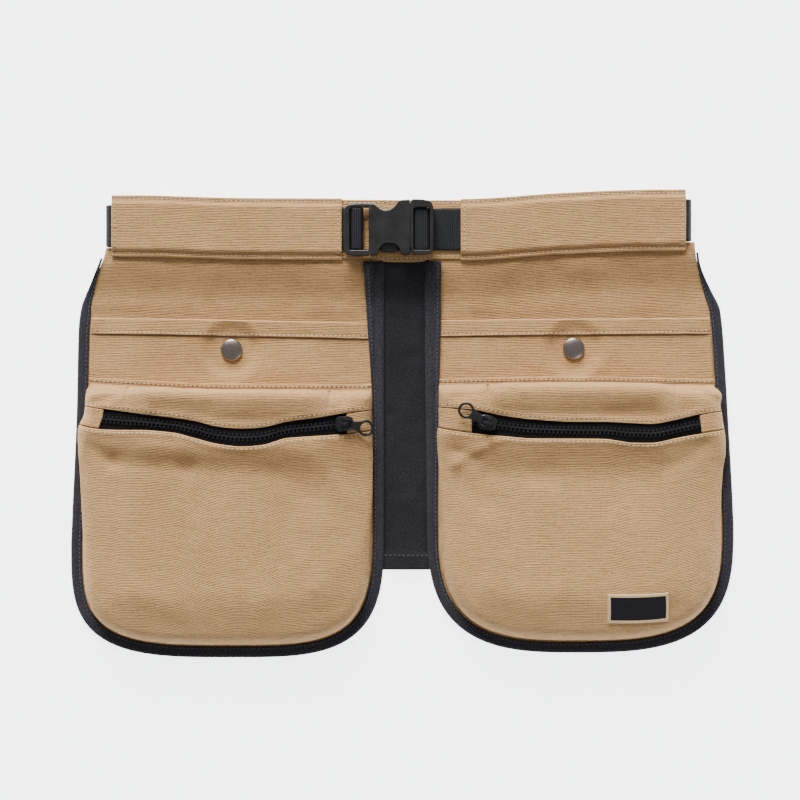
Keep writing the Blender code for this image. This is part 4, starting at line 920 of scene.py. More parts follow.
def bindingGrid(pouch):
    # Folded tape: a rounded U carried along the panel's outline, narrow where it starts outside
    # and raised where it is wide enough to lie on the pocket
    line = outlineOf(pouch)
    low = lambda x: waistLine(x) - plan["waistHeight"] / 2 - plan["gap"]
    kept = np.where(line[:, 1] < low(line[:, 0]))[0]
    first, last = kept[0], kept[-1] + 1
    total = runOf(line[first:last])[-1]
    shares = np.linspace(0, 1, int(total / panelLook["bindingPitch"]))
    narrow = smoothStep((low(line[:, 0]) - line[:, 1]) / panelLook["narrowRun"])
    narrow = panelLook["narrowest"] + (1 - panelLook["narrowest"]) * narrow
    outerHalf = np.arange(len(line)) > len(line) / 2
    down = (waistBottom - line[:, 1]) / plan["panelLength"]
    rows = pouch["bindingWide"]
    slim = np.where(outerHalf, narrow, through(rows[:, 0], rows[:, 1], down))
    slimHere = np.interp(shares, np.linspace(0, 1, last - first), slim[first:last])
    thick = panelOver + plan["gap"] + plan["cloth"]
    wide, r = plan["bindingWidth"], thick / 2
    seam = wide - panelLook["bindingSeam"]
    a = np.radians(np.linspace(-90, 90, 9))
    inset = np.concatenate([[wide, wide * 0.7, wide * 0.4], r - r * np.cos(a),
                            np.linspace(r + 0.7, wide - 0.35, 8), [wide]])
    height = np.concatenate([[0, 0, 0], r + r * np.sin(a), np.full(8, thick), [thick - 0.35]])

    def edgeAt(d):  # the outline moved in by d, with the panel's height and the rise on the pocket
        edge = alongLine(outlineOf(pouch, d * slim)[first:last], shares)
        over = smoothStep((d * slimHere - panelLook["overFrom"]) / panelLook["overRun"])
        over = panelLook["overPocket"] * over * smoothStep((slimHere - 1.0) / 0.06)
        return edge, lift(edge[:, 0], edge[:, 1]), over

    grid = []
    for d, h in zip(inset, height):
        edge, z, over = edgeAt(d)
        z = z + h
        if h > r:
            ripple = cloud(shares * total, np.full(len(shares), d * 0.5), 6, pouch["seed"])
            z = z - groove(d - seam, 0.22, 0.7) + panelLook["bindingRipple"] * ripple * (h > thick - 0.1)
            z = z + 0.25 * bell(d - 3.2, 1.8) + over
        grid.append(np.column_stack([edge, z]))
    edge, z, over = edgeAt(seam)
    uv = stacked(shares[None, :] * total, runOf(np.column_stack([inset, height]))[:, None])
    return np.stack(grid), uv, np.column_stack([edge, z + thick - 0.18 + over])


for pouch in pouches:
    name, node = pouch["name"], pouch["node"]
    edges = boundary(pouch, plan["cloth"] + plan["edgeRoom"], panelHeadLine)
    skin = panelSurface(pouch, edges)
    us = finePitch(2 * pouch["half"], panelLook["pitch"]) / pouch["half"] - 1
    long = plan["panelLength"] * pouch["reach"]
    near = finePitch(0.36 * long, 2.0) / long
    vs = np.concatenate([near, np.linspace(near[-1], 1, 30)[1:]])
    canvasPiece("backPanel" + name, skin(us[None, :], vs[:, None]), "base_panel_" + node,
                restsOn=["edge_binding_" + node])
    grid, uv, seam = bindingGrid(pouch)
    if pouch["sign"] > 0:
        grid, uv = grid[:, ::-1], uv[:, ::-1]
    faces = gridFaces(*grid.shape[:2])
    tape = meshFrom("edgeBinding" + name, grid.reshape(-1, 3), faces[:, ::-1], uv.reshape(-1, 2))
    wall = tape.modifiers.new("Thickness", "SOLIDIFY")
    wall.thickness, wall.offset = panelLook["bindingCloth"] * mm, -1.0
    dress(tape, bindingTwill, replaces=["edge_binding_" + node])
    up = np.tile([0.0, 0.0, 1.0], (len(seam), 1))
    blackSeams.line(seam, up, pitch=panelLook["stitchPitch"], start=2.0, seed=pouch["seed"])
print("back panels and bindings ready")

# Centre panel: hangs slack between the bindings, hemmed at the bottom
centreLook = {"hem": 12.0, "hemSeam": 1.6, "hemHeight": 0.6, "pitch": 1.5, "widerAtBelt": 2.5,
              "slack": 0.95, "waveHeight": 0.85}


def centreSurface(s, y):
    # Between the two bindings' edges, rising with the panels towards the waist, with a slow wave
    leftLine, rightLine = outlineOf(leftPouch, 0.9)[:150], outlineOf(rightPouch, 0.9)[:150]
    low = np.interp(-y, -leftLine[:, 1], leftLine[:, 0])
    high = np.interp(-y, -rightLine[:, 1], rightLine[:, 0])
    head = centreLook["widerAtBelt"] * smoothStep((y - waistBottom + 7) / 4)
    x = low - head + (high - low + 2 * head) * s
    raised = lift(0.0 * x, y) * headUnder / liftFull
    side = np.minimum(s, 1 - s) * (high - low)
    wave = 0.9 * cloud(x, y * 0.45, 14, 31) + 0.4 * cloud(x, y, 7, 32)
    slack = (centreLook["slack"] + centreLook["waveHeight"] * wave) * smoothStep(side / 5)
    z = raised + plan["cloth"] + slack * smoothStep((waistBottom - y) / 20)
    fromHem = y - centreBottom
    past = fromHem - centreLook["hem"]
    z = z + centreLook["hemHeight"] * (1 - smoothStep((past + 0.4) / 0.8))
    z = z - groove(past + centreLook["hemSeam"], 0.25, 0.7) - rounded(fromHem, 0.8)
    return stacked(x, y, np.maximum(z, plan["cloth"] + 0.05))


centreBottom = waistBottom - plan["centreLength"]
ys = centreBottom + finePitch(waistBottom + panelHead - centreBottom, centreLook["pitch"], (0,))
ss = np.linspace(0, 1, 26)
clothPiece("centrePanelTwill", centreSurface(ss[None, :], ys[::-1, None]), blackTwill, "black_twill",
           ["centre_panel"], restsOn=["waistbandCanvas"], held="hung")
seamY = centreBottom + centreLook["hem"] - centreLook["hemSeam"]
cs = np.linspace(0.02, 0.98, 60)
line = centreSurface(cs[None, :], np.array([[seamY]]))[0]
blackSeams.line(line + [0, 0, 0.1], np.tile([0.0, 0.0, 1.0], (60, 1)), pitch=3.0, seed=8)

# Patch pockets: hemmed mouth with its row of stitches, standing a little open
patchLook = {"hem": 11.5, "hemHeight": 0.85, "pitch": 1.7, "seamInset": 1.6, "ripple": 0.65, "shown": 0.46,
             "smallRipple": 0.16, "pucker": 0.18, "pressed": 0.35, "pressedAt": 8.2}


def patchSurface(pouch):
    # The pocket's height plus a hem, a wave that is calm near the stud, puckers along the hem's
    # seam and a ring pressed in round the cap
    def at(u, v):
        flat = coons(pouch["patchEdges"], u, v)
        x, y = flat[..., 0], flat[..., 1]
        z = patchOuter(pouch, x, y)
        drop = mouthLine(pouch, x) - y
        shown = smoothStep((y - pouchTop(pouch, x) - 1.0) / 7)
        side = smoothStep((1 - np.abs(u)) * pouch["half"] / 7)
        hem = patchLook["hemHeight"] * (1 - smoothStep((drop - patchLook["hem"]) / 0.4))
        away = np.hypot(x - pouch["stud"][0], y - pouch["stud"][1])
        calm = smoothStep((away - 9) / 8)
        wave = patchLook["ripple"] * cloud(x * 0.8, y, 30, pouch["seed"] + 3)
        wave = wave + patchLook["smallRipple"] * cloud(x, y, 9, pouch["seed"] + 4)
        pucker = patchLook["pucker"] * bell(drop - patchLook["hem"] + 1, 2.4)
        z = z + (hem + wave * calm) * shown * (0.25 + 0.75 * side)
        z = z + pucker * cloud(x, y * 0.3, 6, pouch["seed"] + 5) * shown
        z = z - (groove(drop - patchLook["hem"] + patchLook["seamInset"], 0.30, 0.75)) * shown
        z = z - patchLook["pressed"] * bell(away - patchLook["pressedAt"], 1.6) * shown
        z = z - rounded(drop, 0.9)
        return stacked(x, y, z)
    return at


snapLook = {"radius": 7.8, "rim": 0.9, "dome": 1.7, "steps": 72}


def lathe(name, profile, centre, finish, replaces):
    # Profile rows (radius, height) carried round the vertical axis
    steps, rows = snapLook["steps"], len(profile)
    a = np.linspace(0, 2 * math.pi, steps, endpoint=False)
    profile = np.asarray(profile, float)
    grid = stacked(centre[0] + profile[:, :1] * np.cos(a), centre[1] + profile[:, :1] * np.sin(a),
                   centre[2] + profile[:, 1:])
    ends = [[*centre[:2], centre[2] + profile[k, 1]] for k in (0, -1)]
    points = np.concatenate([grid.reshape(-1, 3), ends])
    k, last = np.arange(steps), (rows - 1) * steps
    n = (k + 1) % steps
    faces = np.concatenate([halved(gridFaces(rows, steps, closed=True)[:, ::-1]), stacked(k, n, rows * steps),
                            stacked(n + last, k + last, rows * steps + 1)])
    return dress(meshFrom(name, points, faces), finish, replaces=replaces)


for pouch in pouches:
    name, node = pouch["name"], pouch["node"]
    skin = patchSurface(pouch)
    long = plan["panelLength"] * (pouch["reach"] - pouch["mouth"][0]) - pocketInset
    us = finePitch(2 * pouch["half"], patchLook["pitch"]) / pouch["half"] - 1
    head = finePitch(patchLook["shown"] * long, 1.5, (0,))
    hemRows = patchLook["hem"] + np.array([-2.4, -1.6, -0.9, -0.2, 0.15, 0.45, 0.8, 1.4])
    head = np.unique(np.concatenate([head, hemRows]).round(3))
    head = head[np.insert(np.diff(head) > 0.12, 0, True)] / long
    vs = np.concatenate([head, np.linspace(head[-1], 1, 32)[1:]])
    grid = skin(us[None, :], vs[:, None])
    drop = mouthLine(pouch, grid[..., 0]) - grid[..., 1]
    # pale makes the mouth's folded edge paler; dark is painted shade, the shadow under the hem's step
    pale, dark = band(drop, -1.0, 0.7), band(drop, patchLook["hem"] + 0.15, patchLook["hem"] + 0.75)
    canvasPiece("patchPocket" + name, grid, "patch_pocket_" + node, restsOn=["backPanel" + name],
                uvShift=(13.0, 41.0), shade=0.55 * pale - 0.85 * dark)
    u = np.linspace(-0.985, 0.985, 260)
    v = np.full(260, (patchLook["hem"] - patchLook["seamInset"]) / long)
    pouchSeams[name].line(*seamOn(skin, u, v), seed=pouch["seed"])
    seat = float(patchOuter(pouch, *pouch["stud"])) + plan["gap"]
    r, rim, dome = snapLook["radius"], snapLook["rim"], snapLook["dome"]
    t = np.linspace(0, 1, 14)[1:]
    crown = [(r * 0.90 * k, rim + dome - (dome * 0.62) * k ** 2.6) for k in t]
    rows = [(0.945, rim + dome * 0.30), (0.985, rim + dome * 0.06), (1.0, rim - 0.25), (0.99, rim - 0.6),
            (0.955, 0.05), (0.9, 0.0)]
    profile = crown + [(r * k, height) for k, height in rows]
    lathe("snapCap" + name, profile, (*pouch["stud"], seat), antiqueNickel, ["snap_cap_" + node])
print("patch pockets and press studs ready")

# Zip pockets
pouchLook = {"pitch": 1.35, "ripple": 0.55, "lipSeam": 2.0, "flangeSeam": 2.2, "wallShare": 0.86,
             "lip": 0.5, "lipAt": 2.6, "frontPucker": 0.22, "topPucker": 0.20}


def pouchDetail(pouch, face, u, v, part):
    # Folds, creases beside the seams and fine ripples, added along Z
    x, y = face[..., 0], face[..., 1]
    wall = smoothStep(((1 - np.abs(u)) * pouch["half"] - 5) / 12)
    z = face[..., 2]
    wave = cloud(x, y * 0.8, 34, pouch["seed"] + 6) + 0.4 * cloud(x, y, 12, pouch["seed"] + 7)
    wave = pouchLook["ripple"] * wave
    if part == "front":
        drop = (v - zipEdge(pouch, u, 2)) * pouch["long"]
        fromSeam = (1 - v) * pouch["long"]
        folds = foldField(pouch["folds"], x, y) * smoothStep(drop / 5) * smoothStep(fromSeam / 14)
        z = z + (folds + wave * smoothStep(drop / 6) * smoothStep(fromSeam / 16)) * wall
        z = z + pouchLook["lip"] * bell(drop - pouchLook["lipAt"], 2.2) * wall
        pucker = pouchLook["frontPucker"] * bell(drop - 4.5, 3.0) * wall
        z = z + pucker * cloud(x, y * 0.3, 8, pouch["seed"] + 8)
        z = z - groove(drop - pouchLook["lipSeam"], 0.30, 0.7) - rounded(drop, 0.9)
    else:
        rise = (zipEdge(pouch, u, 1) - v) * pouch["long"]
        drop = v * pouch["long"]
        z = z + wave * wall * smoothStep((drop - 6) / 6) * 0.8
        z = z + foldField(pouch["pinches"], x, y) * smoothStep((drop - 4.5) / 4) * smoothStep(rise / 4)
        z = z + pouchLook["lip"] * bell(rise - pouchLook["lipAt"], 2.2) * wall
        pucker = pouchLook["topPucker"] * bell(rise - 4.5, 3.0) * wall
        z = z + pucker * cloud(x, y * 0.3, 7, pouch["seed"] + 9)
        z = z - groove(rise - pouchLook["lipSeam"], 0.30, 0.7) - rounded(rise, 0.9)
        z = z - groove(drop - pouchLook["flangeSeam"], 0.2, 0.7) - rounded(drop, 0.7)
    return stacked(x, y, z)


def pouchSurface(pouch, part):
    # The front, from the zip's lower edge (t = 0) to its sewn edge (t = 1), or the strip above the
    # zip, from the pocket's upper seam to the zip's upper edge
    join = plan["gap"] / pouch["long"]

    def at(u, t):
        low = zipEdge(pouch, u, 2) + join
        v = low + t * (1 - low) if part == "front" else t * (zipEdge(pouch, u, 1) - join)
        return pouchDetail(pouch, pouchFace(pouch, u, v), np.broadcast_to(u, v.shape), v, part)
    return at


def tabSurface(pouch):  # between the zip's two edges, with a folded end towards the middle
    join = plan["gap"] / pouch["long"]

    def at(u, t):
        up, low = zipEdge(pouch, u, 1) + join, zipEdge(pouch, u, 2) - join
        v = up + t * (low - up)
        face = pouchFace(pouch, u, v)
        edge = np.minimum(t, 1 - t) * (low - up) * pouch["long"]
        end = (np.abs(u) - np.where(u < 0, *pouch["tabs"])) * pouch["half"]
        z = face[..., 2] - rounded(edge, 0.5) - rounded(end, 0.8) + 0.1 * cloud(face[..., 0], face[..., 1], 5, 40)
        return stacked(face[..., 0], face[..., 1], z)
    return at


# Distances from the sewn edge of the stations on a steep wall
wallSteps = np.array([0, 0.3, 0.7, 0.85, 1.05, 1.35, 1.75, 2.2, 2.8, 3.5, 4.3, 5.2, 6.2, 7.3, 8.5, 9.8, 11.2, 12.6])


def wallStations(pouch, pitch, extra=()):
    # Closer stations on the steep side walls, plus one cluster at each pleat
    half = pouch["half"]
    inner = np.arange(0, half - 13, pitch)
    side = np.concatenate([inner, half - wallSteps[::-1]])
    clusters = [across * half + np.arange(-3, 3.1, 0.5) for across in extra]
    values = np.unique(np.concatenate([-side, side] + clusters).round(3))
    return values[np.insert(np.diff(values) > 0.2, 0, True)] / half


for pouch in pouches:
    name, node = pouch["name"], pouch["node"]
    half = pouch["half"]
    us = wallStations(pouch, pouchLook["pitch"])
    depth = (1 - zipEdge(pouch, 0.0, 2)) * pouch["long"]
    wallFrom = depth * pouchLook["wallShare"]
    lower = depth - wallSteps[::-1]
    ts = np.concatenate([finePitch(wallFrom, pouchLook["pitch"], (0,)), lower[lower > wallFrom + 0.5]]) / depth
    front = pouchSurface(pouch, "front")
    canvasPiece("pouchFront" + name, front(us[None, :], ts[:, None]), "zip_pocket_front_" + node,
                restsOn=["patchPocket" + name], uvShift=(5.0, 77.0),
                shade=0.60 * band(ts[:, None] * depth, -1.0, 0.8))
    us = wallStations(pouch, 1.2, pouch["pleats"][:, 0])
    stripDepth = zipEdge(pouch, 0.0, 1) * pouch["long"]
    ts = finePitch(stripDepth, 0.8, (0, 1)) / stripDepth
    strip = pouchSurface(pouch, "top")
    down, up = ts[:, None] * stripDepth, (1 - ts[:, None]) * stripDepth
    # Shade: paler at both edges, and a band of painted shade 3 to 4.6 mm below the upper seam, the shadow under the
    # roll
    canvasPiece("pouchTop" + name, strip(us[None, :], ts[:, None]), "zip_pocket_top_" + node,
                restsOn=["patchPocket" + name], uvShift=(29.0, 7.0),
                shade=0.60 * band(up, -1.0, 0.8) + 0.5 * band(down, -1.0, 0.6) - 0.75 * band(down, 3.0, 4.6, 0.6))
    for sign, end, start in ((-1, "Inner", pouch["tabs"][0]), (1, "Outer", pouch["tabs"][1])):
        us = np.sort(sign * (start + finePitch((1 - start) * half, 0.8, (0,)) / half))
        tab = tabSurface(pouch)(us[None, :], np.linspace(0, 1, 24)[:, None])
        canvasPiece("zipTab" + name + end, tab, "zip_tab_" + node + "_" + end.lower(),
                    restsOn=["pouchFront" + name])
    u = np.linspace(-0.975, 0.975, 260)
    frontLong, stripLong = (1 - zipEdge(pouch, u, 2)) * pouch["long"], zipEdge(pouch, u, 1) * pouch["long"]
    seams = [(front, pouchLook["lipSeam"] / frontLong), (strip, 1 - pouchLook["lipSeam"] / stripLong),
             (strip, pouchLook["flangeSeam"] / stripLong)]
    for k, (skin, t) in enumerate(seams):
        pouchSeams[name].line(*seamOn(skin, u, t), seed=pouch["seed"] + 1 + k)
print("zip pockets ready")

# Zips: tape behind the canvas, and two rows of moulded teeth that stand up between its edges
zipLook = {"tuck": 3.5, "pitch": 3.0, "toothLength": 3.5, "toothWidth": 1.75, "toothHeight": 1.35,
           "tapeEnd": 0.885, "teethEnd": 0.868, "teethOut": 0.55, "overlap": 0.75, "tapeThick": 0.8}


def zipSkin(pouch, u, v, out):  # the pouch face moved out along its own normal, and that normal
    u, v = np.broadcast_arrays(np.asarray(u, float), np.asarray(v, float))
    n = -pouch["sign"] * normalOf(lambda a, b: pouchFace(pouch, a, b), u, v, 0.004)
    return pouchFace(pouch, u, v) + n * np.broadcast_to(out, u.shape)[..., None], n


def toothShape():
    # Moulded tooth along x: a rounded bar with a narrow neck and a wider head at the chain's middle
    t = np.array([-1.0, -0.92, -0.55, -0.15, 0.20, 0.55, 0.88, 1.0])
    wide = np.array([0.70, 0.98, 1.00, 0.62, 0.60, 1.00, 0.92, 0.55])
    high = np.array([0.50, 0.86, 1.00, 0.92, 0.92, 1.00, 0.84, 0.50])
    profile = np.array([[-1, -1], [-1, 0.45], [-0.62, 1], [0.62, 1], [1, 0.45], [1, -1]])
    points = stacked(np.repeat(t, 6), np.outer(wide, profile[:, 0]).ravel(), np.outer(high, profile[:, 1]).ravel())
    k, last = np.arange(1, 5), 7 * 6
    faces = np.concatenate([halved(gridFaces(8, 6, closed=True)), stacked(0, k + 1, k),
                            stacked(last, last + k, last + k + 1)])
    return points, faces[:, ::-1]


for pouch in pouches:
    name, node = pouch["name"], pouch["node"]
    tuck = zipLook["tuck"] / pouch["long"]
    us = np.linspace(-zipLook["tapeEnd"], zipLook["tapeEnd"], 136)
    up, low = zipEdge(pouch, us, 1), zipEdge(pouch, us, 2)
    v = (up - tuck) + np.linspace(0, 1, 22)[:, None] * (low - up + 2 * tuck)
    tapeOut = -(plan["cloth"] + plan["gap"])
    across = np.abs(v - (up + low) / 2) * pouch["long"]
    swell = 0.22 * bell(across - 3.2, 0.7)
    grid = zipSkin(pouch, us[None, :], v, tapeOut + swell)[0]
    clothPiece("zipTape" + name, grid, zipTapeBlack, "black_zip", ["zip_tape_" + node],
               thickness=zipLook["tapeThick"], restsOn=["pouchFront" + name], held="stretched")
    span = np.linspace(-zipLook["teethEnd"], zipLook["teethEnd"], 700)
    mid = (zipEdge(pouch, span, 1) + zipEdge(pouch, span, 2)) / 2
    line, up3 = zipSkin(pouch, span, mid, tapeOut + zipLook["teethOut"])
    count = int(runOf(line)[-1] / (zipLook["pitch"] / 2))
    at = (np.arange(count) + 0.5) / count
    along = unit(alongLine(line, np.clip(at + 0.004, 0, 1)) - alongLine(line, np.clip(at - 0.004, 0, 1)))
    side = unit(np.cross(unit(alongLine(line, at, up3)), along))
    flip = np.where(np.arange(count) % 2 == 0, 1.0, -1.0)[:, None]
    centre = alongLine(line, at) - side * flip * (zipLook["toothLength"] / 2 - zipLook["overlap"])
    size = [zipLook[key] / 2 for key in ("toothLength", "toothWidth", "toothHeight")]
    p, f = scatter(toothShape(), centre, side * flip, -along * flip, np.cross(along, side), size)
    dress(meshFrom("zipTeeth" + name, p, f, smooth=False), zipTeethBlack)
print("zips ready")

# Label: woven, pale border and bare dark field
labelLook = {"width": 43.5, "height": 20.5, "border": 2.2, "pale": (0.86, 0.60, 0.33),
             "field": (0.012, 0.012, 0.016), "stand": 1.0,
             "corners": [(145.5, -120.8), (188.9, -119.4), (145.8, -141.5), (189.4, -139.8)]}


def labelFinish():
    # Satin weave; the border is where either UV is within its width of the label's edge
    s = Finish("wovenLabel", 0.72, more={"Sheen Weight": 0.2, "Specular IOR Level": 0.10})
    x, y = s.split(s.uv)
    weave = s.crossed(s.ribs(y, 0.45), s.ribs(x, 0.55), 0.5)
    fromMiddle = (x, s.math("SUBTRACT", y, labelLook["height"] / 2 * mm))
    inX, inY = (s.math("LESS_THAN", s.math("ABSOLUTE", value), (labelLook[size] / 2 - labelLook["border"]) * mm)
                for value, size in zip(fromMiddle, ("width", "height")))
    tone = s.total((weave, 0.5), (s.noise(s.uv, 1600.0, 2.0), 0.5))
    pale = s.ramp(tone, 0.2, 0.9, shaded(labelLook["pale"], 0.62), labelLook["pale"])
    field = s.ramp(tone, 0.2, 0.9, shaded(labelLook["field"], 0.4), labelLook["field"])
    s.paint(s.mix("MIX", s.math("MULTIPLY", inX, inY), pale, field))
    s.bump(weave, 0.0001, 0.8)
    return s.material


acrossLabel = finePitch(labelLook["width"], 0.8, (0, 1))
downLabel = finePitch(labelLook["height"], 0.7, (0, 1))
# Parameters of the four corners from a fine table of the pouch face, blended between them
tableU, tableV = np.meshgrid(np.linspace(0.1, 0.9, 420), np.linspace(0.70, 0.99, 300))
table = pouchFace(rightPouch, tableU, tableV)[..., :2]
picks = [np.unravel_index(np.argmin(((table - corner) ** 2).sum(-1)), tableU.shape)
         for corner in labelLook["corners"]]
upperLeft, upperRight, lowerLeft, lowerRight = (np.array([tableU[k], tableV[k]]) for k in picks)
s, t = (acrossLabel / labelLook["width"])[None, :, None], (downLabel / labelLook["height"])[:, None, None]
labelAt = (1 - t) * ((1 - s) * upperLeft + s * upperRight) + t * ((1 - s) * lowerLeft + s * lowerRight)
u, v = labelAt[..., 0], labelAt[..., 1]
grid = zipSkin(rightPouch, u, v, plan["gap"] + labelLook["stand"])[0]
dx = np.minimum(acrossLabel, labelLook["width"] - acrossLabel)[None, :]
dy = np.minimum(downLabel, labelLook["height"] - downLabel)[:, None]
grid[..., 2] = pouchDetail(rightPouch, grid, u, v, "front")[..., 2] - rounded(np.minimum(dx, dy), 0.7)
labelUv = np.broadcast_arrays((acrossLabel - labelLook["width"] / 2)[None, :], downLabel[:, None])
clothPiece("labelPatchWoven", grid, labelFinish(), "woven_label", ["label_patch"],
           restsOn=["pouchFrontRight"], along=labelUv)

beltSeams.build()
blackSeams.build(holes=False)
for seams in pouchSeams.values():
    seams.build()
print("label and stitches ready")

# Moulded and metal pieces: flat plates with rounded edges, made from outlines and their holes


def cornerCut(points):  # twice, each corner is cut at a quarter and three quarters of its sides
    for k in range(2):
        ahead = np.roll(points, -1, axis=0)
        points = np.stack([0.75 * points + 0.25 * ahead, 0.25 * points + 0.75 * ahead], axis=1).reshape(-1, 2)
    return points


def inward(points, distance):
    # Closed outline moved into the material: along the corner bisector, lengthened at the corner
    step = unit(np.roll(points, -1, axis=0) - points)
    after = stacked(-step[:, 1], step[:, 0])
    before = np.roll(after, 1, axis=0)
    return points + distance * (after + before) / (1 + (after * before).sum(1, keepdims=True)).clip(0.4)


def plate(outline, holes, low, high, edge, steps=4):
    # Outline runs anticlockwise and holes clockwise; quarter-circle edges above and below, and
    # caps filled between the outline and its holes
    a = np.linspace(0, math.pi / 2, steps + 1)
    down = stacked(edge * (1 - np.sin(a)), low + edge * (1 - np.cos(a)))
    profile = np.concatenate([down, stacked(edge * (1 - np.cos(a)), high - edge * (1 - np.sin(a)))])
    points, faces, starts, total = [], [], [], 0
    loops = [np.asarray(loop, float) for loop in [outline] + holes]
    for loop in loops:
        n = len(loop)
        rings = [np.column_stack([inward(loop, inset), np.full(n, z)]) for inset, z in profile]
        points += rings
        faces.append(halved(gridFaces(len(rings), n, closed=True)) + total)
        starts.append(total)
        total += n * len(rings)
    for ring, turned in ((0, True), (len(profile) - 1, False)):
        flat = [[Vector((*p, 0)) for p in inward(loop, profile[ring][0])] for loop in loops]
        index = np.concatenate([start + ring * len(loop) + np.arange(len(loop))
                                for start, loop in zip(starts, loops)])
        caps = index[np.array(geometry.tessellate_polygon(flat))]
        p = np.concatenate(points)[caps]
        up = np.cross(p[:, 1] - p[:, 0], p[:, 2] - p[:, 0])[:, 2] > 0
        caps[up == turned] = caps[up == turned][:, ::-1]
        faces.append(caps)
    return np.concatenate(points), np.concatenate(faces)


def platePiece(name, plates, finish, body="apron", replaces=(), place=None):
    # Several plates joined in one mesh, optionally moved by a placing matrix
    points, faces = joined(plates)
    if place is not None:
        points = points @ np.array(place[0]).T + np.array(place[1])
    obj = meshFrom(name, points, faces)
    evenNormals(obj)
    return dress(obj, finish, body, replaces)


def evenNormals(obj):  # flat faces keep their normal beside a rounded edge
    even = obj.modifiers.new("EvenNormals", "WEIGHTED_NORMAL")
    even.weight, even.keep_sharp = 100, False


def oblong(x0, y0, x1, y1, corner, clockwise=False):  # a box's outline with quarter-circle corners
    a = np.radians([0, 30, 60, 90])
    points = np.concatenate([
        stacked(cx + corner * np.cos(a + math.radians(t)), cy + corner * np.sin(a + math.radians(t)))
        for cx, cy, t in ((x1 - corner, y1 - corner, 0), (x0 + corner, y1 - corner, 90),
                          (x0 + corner, y0 + corner, 180), (x1 - corner, y0 + corner, 270))])
    return points[::-1] if clockwise else points


# Side-release buckle: frame with its strap bar, the thick body with both finger cuts, the catch
# that shows in the lower cut, and the male half with its own window and bar
buckle = {
    "body": np.array([[5.9, 120.7], [5.9, 160.0], [3.5, 160.0], [-2.0, 159.7], [-3.4, 158.4], [-5.3, 155.3],
                      [-8.8, 153.0], [-12.5, 152.3], [-15.6, 153.2], [-18.2, 155.3], [-20.4, 157.1],
                      [-23.3, 157.1], [-23.5, 156.0], [-23.5, 121.5], [-23.3, 120.2], [-18.6, 120.2],
                      [-17.4, 121.6], [-16.8, 124.0], [-15.0, 127.2], [-12.0, 128.6], [-8.0, 128.7],
                      [-4.3, 127.7], [-2.0, 124.8], [-0.9, 121.4], [0.6, 120.2], [3.5, 120.4]]),
    "frame": np.array([[-18.6, 120.4], [-18.6, 157.0], [-28.8, 157.4], [-38.0, 156.8], [-41.0, 154.9],
                       [-42.0, 151.2], [-42.0, 125.5], [-41.2, 122.4], [-38.6, 120.4], [-33.0, 119.8]]),
    "catch": np.array([[-16.6, 122.6], [-2.2, 122.4], [-2.6, 126.0], [-5.0, 129.6], [-13.6, 129.6],
                       [-16.0, 126.6]]),
    "male": np.array([[4.4, 120.6], [15.7, 120.8], [20.8, 121.4], [22.0, 123.6], [22.1, 128.0], [22.1, 152.0],
                      [22.0, 155.4], [20.6, 158.4], [17.4, 159.7], [12.0, 160.3], [4.4, 160.3]]),
    "windowY": (124.0, 154.6), "femaleWindow": (-37.6, -24.0), "maleWindow": (7.9, 19.6), "low": 11.4,
    "bodyLow": 9.8, "bodyHigh": 18.0, "frameHigh": 15.9, "catchLow": 10.1, "catchHigh": 15.2,
    "maleHigh": 17.3, "bodyEdge": 0.9, "frameEdge": 0.64, "catchEdge": 1.2, "maleEdge": 0.42,
    "windowCorner": 1.0, "barPast": (1.2, 0.8), "barRound": 0.8,
}


def buckleHalf(name, half, parts):
    # One half: its windowed plate, its strap bar and its plates without a hole
    b, middle, wide = buckle, strap[half + "BarX"], strap[half + "Bar"] / 2
    y0, y1 = b["windowY"]
    barLow = beltOver + plan["gap"]
    outline = oblong(middle - wide, y0 - b["barPast"][0], middle + wide, y1 + b["barPast"][1], b["barRound"])
    bar = plate(outline, [], barLow, barLow + strap["barThick"], strap["barCorner"])
    x0, x1 = b[half + "Window"]
    hole = oblong(x0, y0, x1, y1, b["windowCorner"], True)
    plates = [plate(cornerCut(b[part]), [hole] if windowed else [], low, b[part + "High"], b[part + "Edge"])
              for part, low, windowed in parts]
    platePiece(name, plates + [bar], bucklePlastic, replaces=["buckle_" + half])


buckleHalf("buckleFemaleHalf", "female", [("frame", buckle["low"], True), ("body", buckle["bodyLow"], False)])
buckleHalf("buckleMaleHalf", "male", [("male", buckle["low"], True), ("catch", buckle["catchLow"], False)])

# Ring pulls in the frame of their hinge: x runs to the ring, y along the bar; an eye round the
# bridge, a flat neck and a ring of wire
pullLook = {
    "bar": 1.3, "eyeOut": 4.0, "eyeIn": 2.7, "neck": 2.9, "ring": 5.9, "hole": 4.0, "edge": 0.5,
    "Left": {"reach": 15.6, "at": (-40.721, 0.188, 20.583), "x": (0.9409, -0.2025, -0.2714),
             "y": (0.2079, 0.97811, -0.00914)},
    "Right": {"reach": 17.6, "at": (60.304, 0.873, 23.25), "x": (-0.8512, 0.5049, -0.1433),
              "y": (-0.49834, -0.86315, -0.08142)},
}


def pullPlate(reach):
    # Outline of ring, neck and eye, with the ring's hole and the eye's window; reach is the
    # distance from the hinge to the ring's middle
    p = pullLook
    mouth = math.asin(0.72)
    a = np.linspace(math.pi + mouth, 3 * math.pi - mouth, 44)
    ring = stacked(reach + p["ring"] * np.cos(a), p["ring"] * np.sin(a))
    upper = np.array([[reach - 7.4, 3.2], [6.4, p["neck"]], [5.7, 3.1], [4.7, 3.8], [3.9, p["eyeOut"]],
                      [-0.25, p["eyeOut"]], [-0.65, 3.6]])
    a = np.linspace(0, -2 * math.pi, 40, endpoint=False)
    hole = stacked(reach + p["hole"] * np.cos(a), p["hole"] * np.sin(a))
    window = oblong(0.65, -p["eyeIn"], 4.3, p["eyeIn"], 0.6, True)
    outline = np.concatenate([ring, upper, upper[::-1] * (1, -1)])
    return plate(outline, [window, hole], -p["bar"] / 2, p["bar"] / 2, p["edge"])


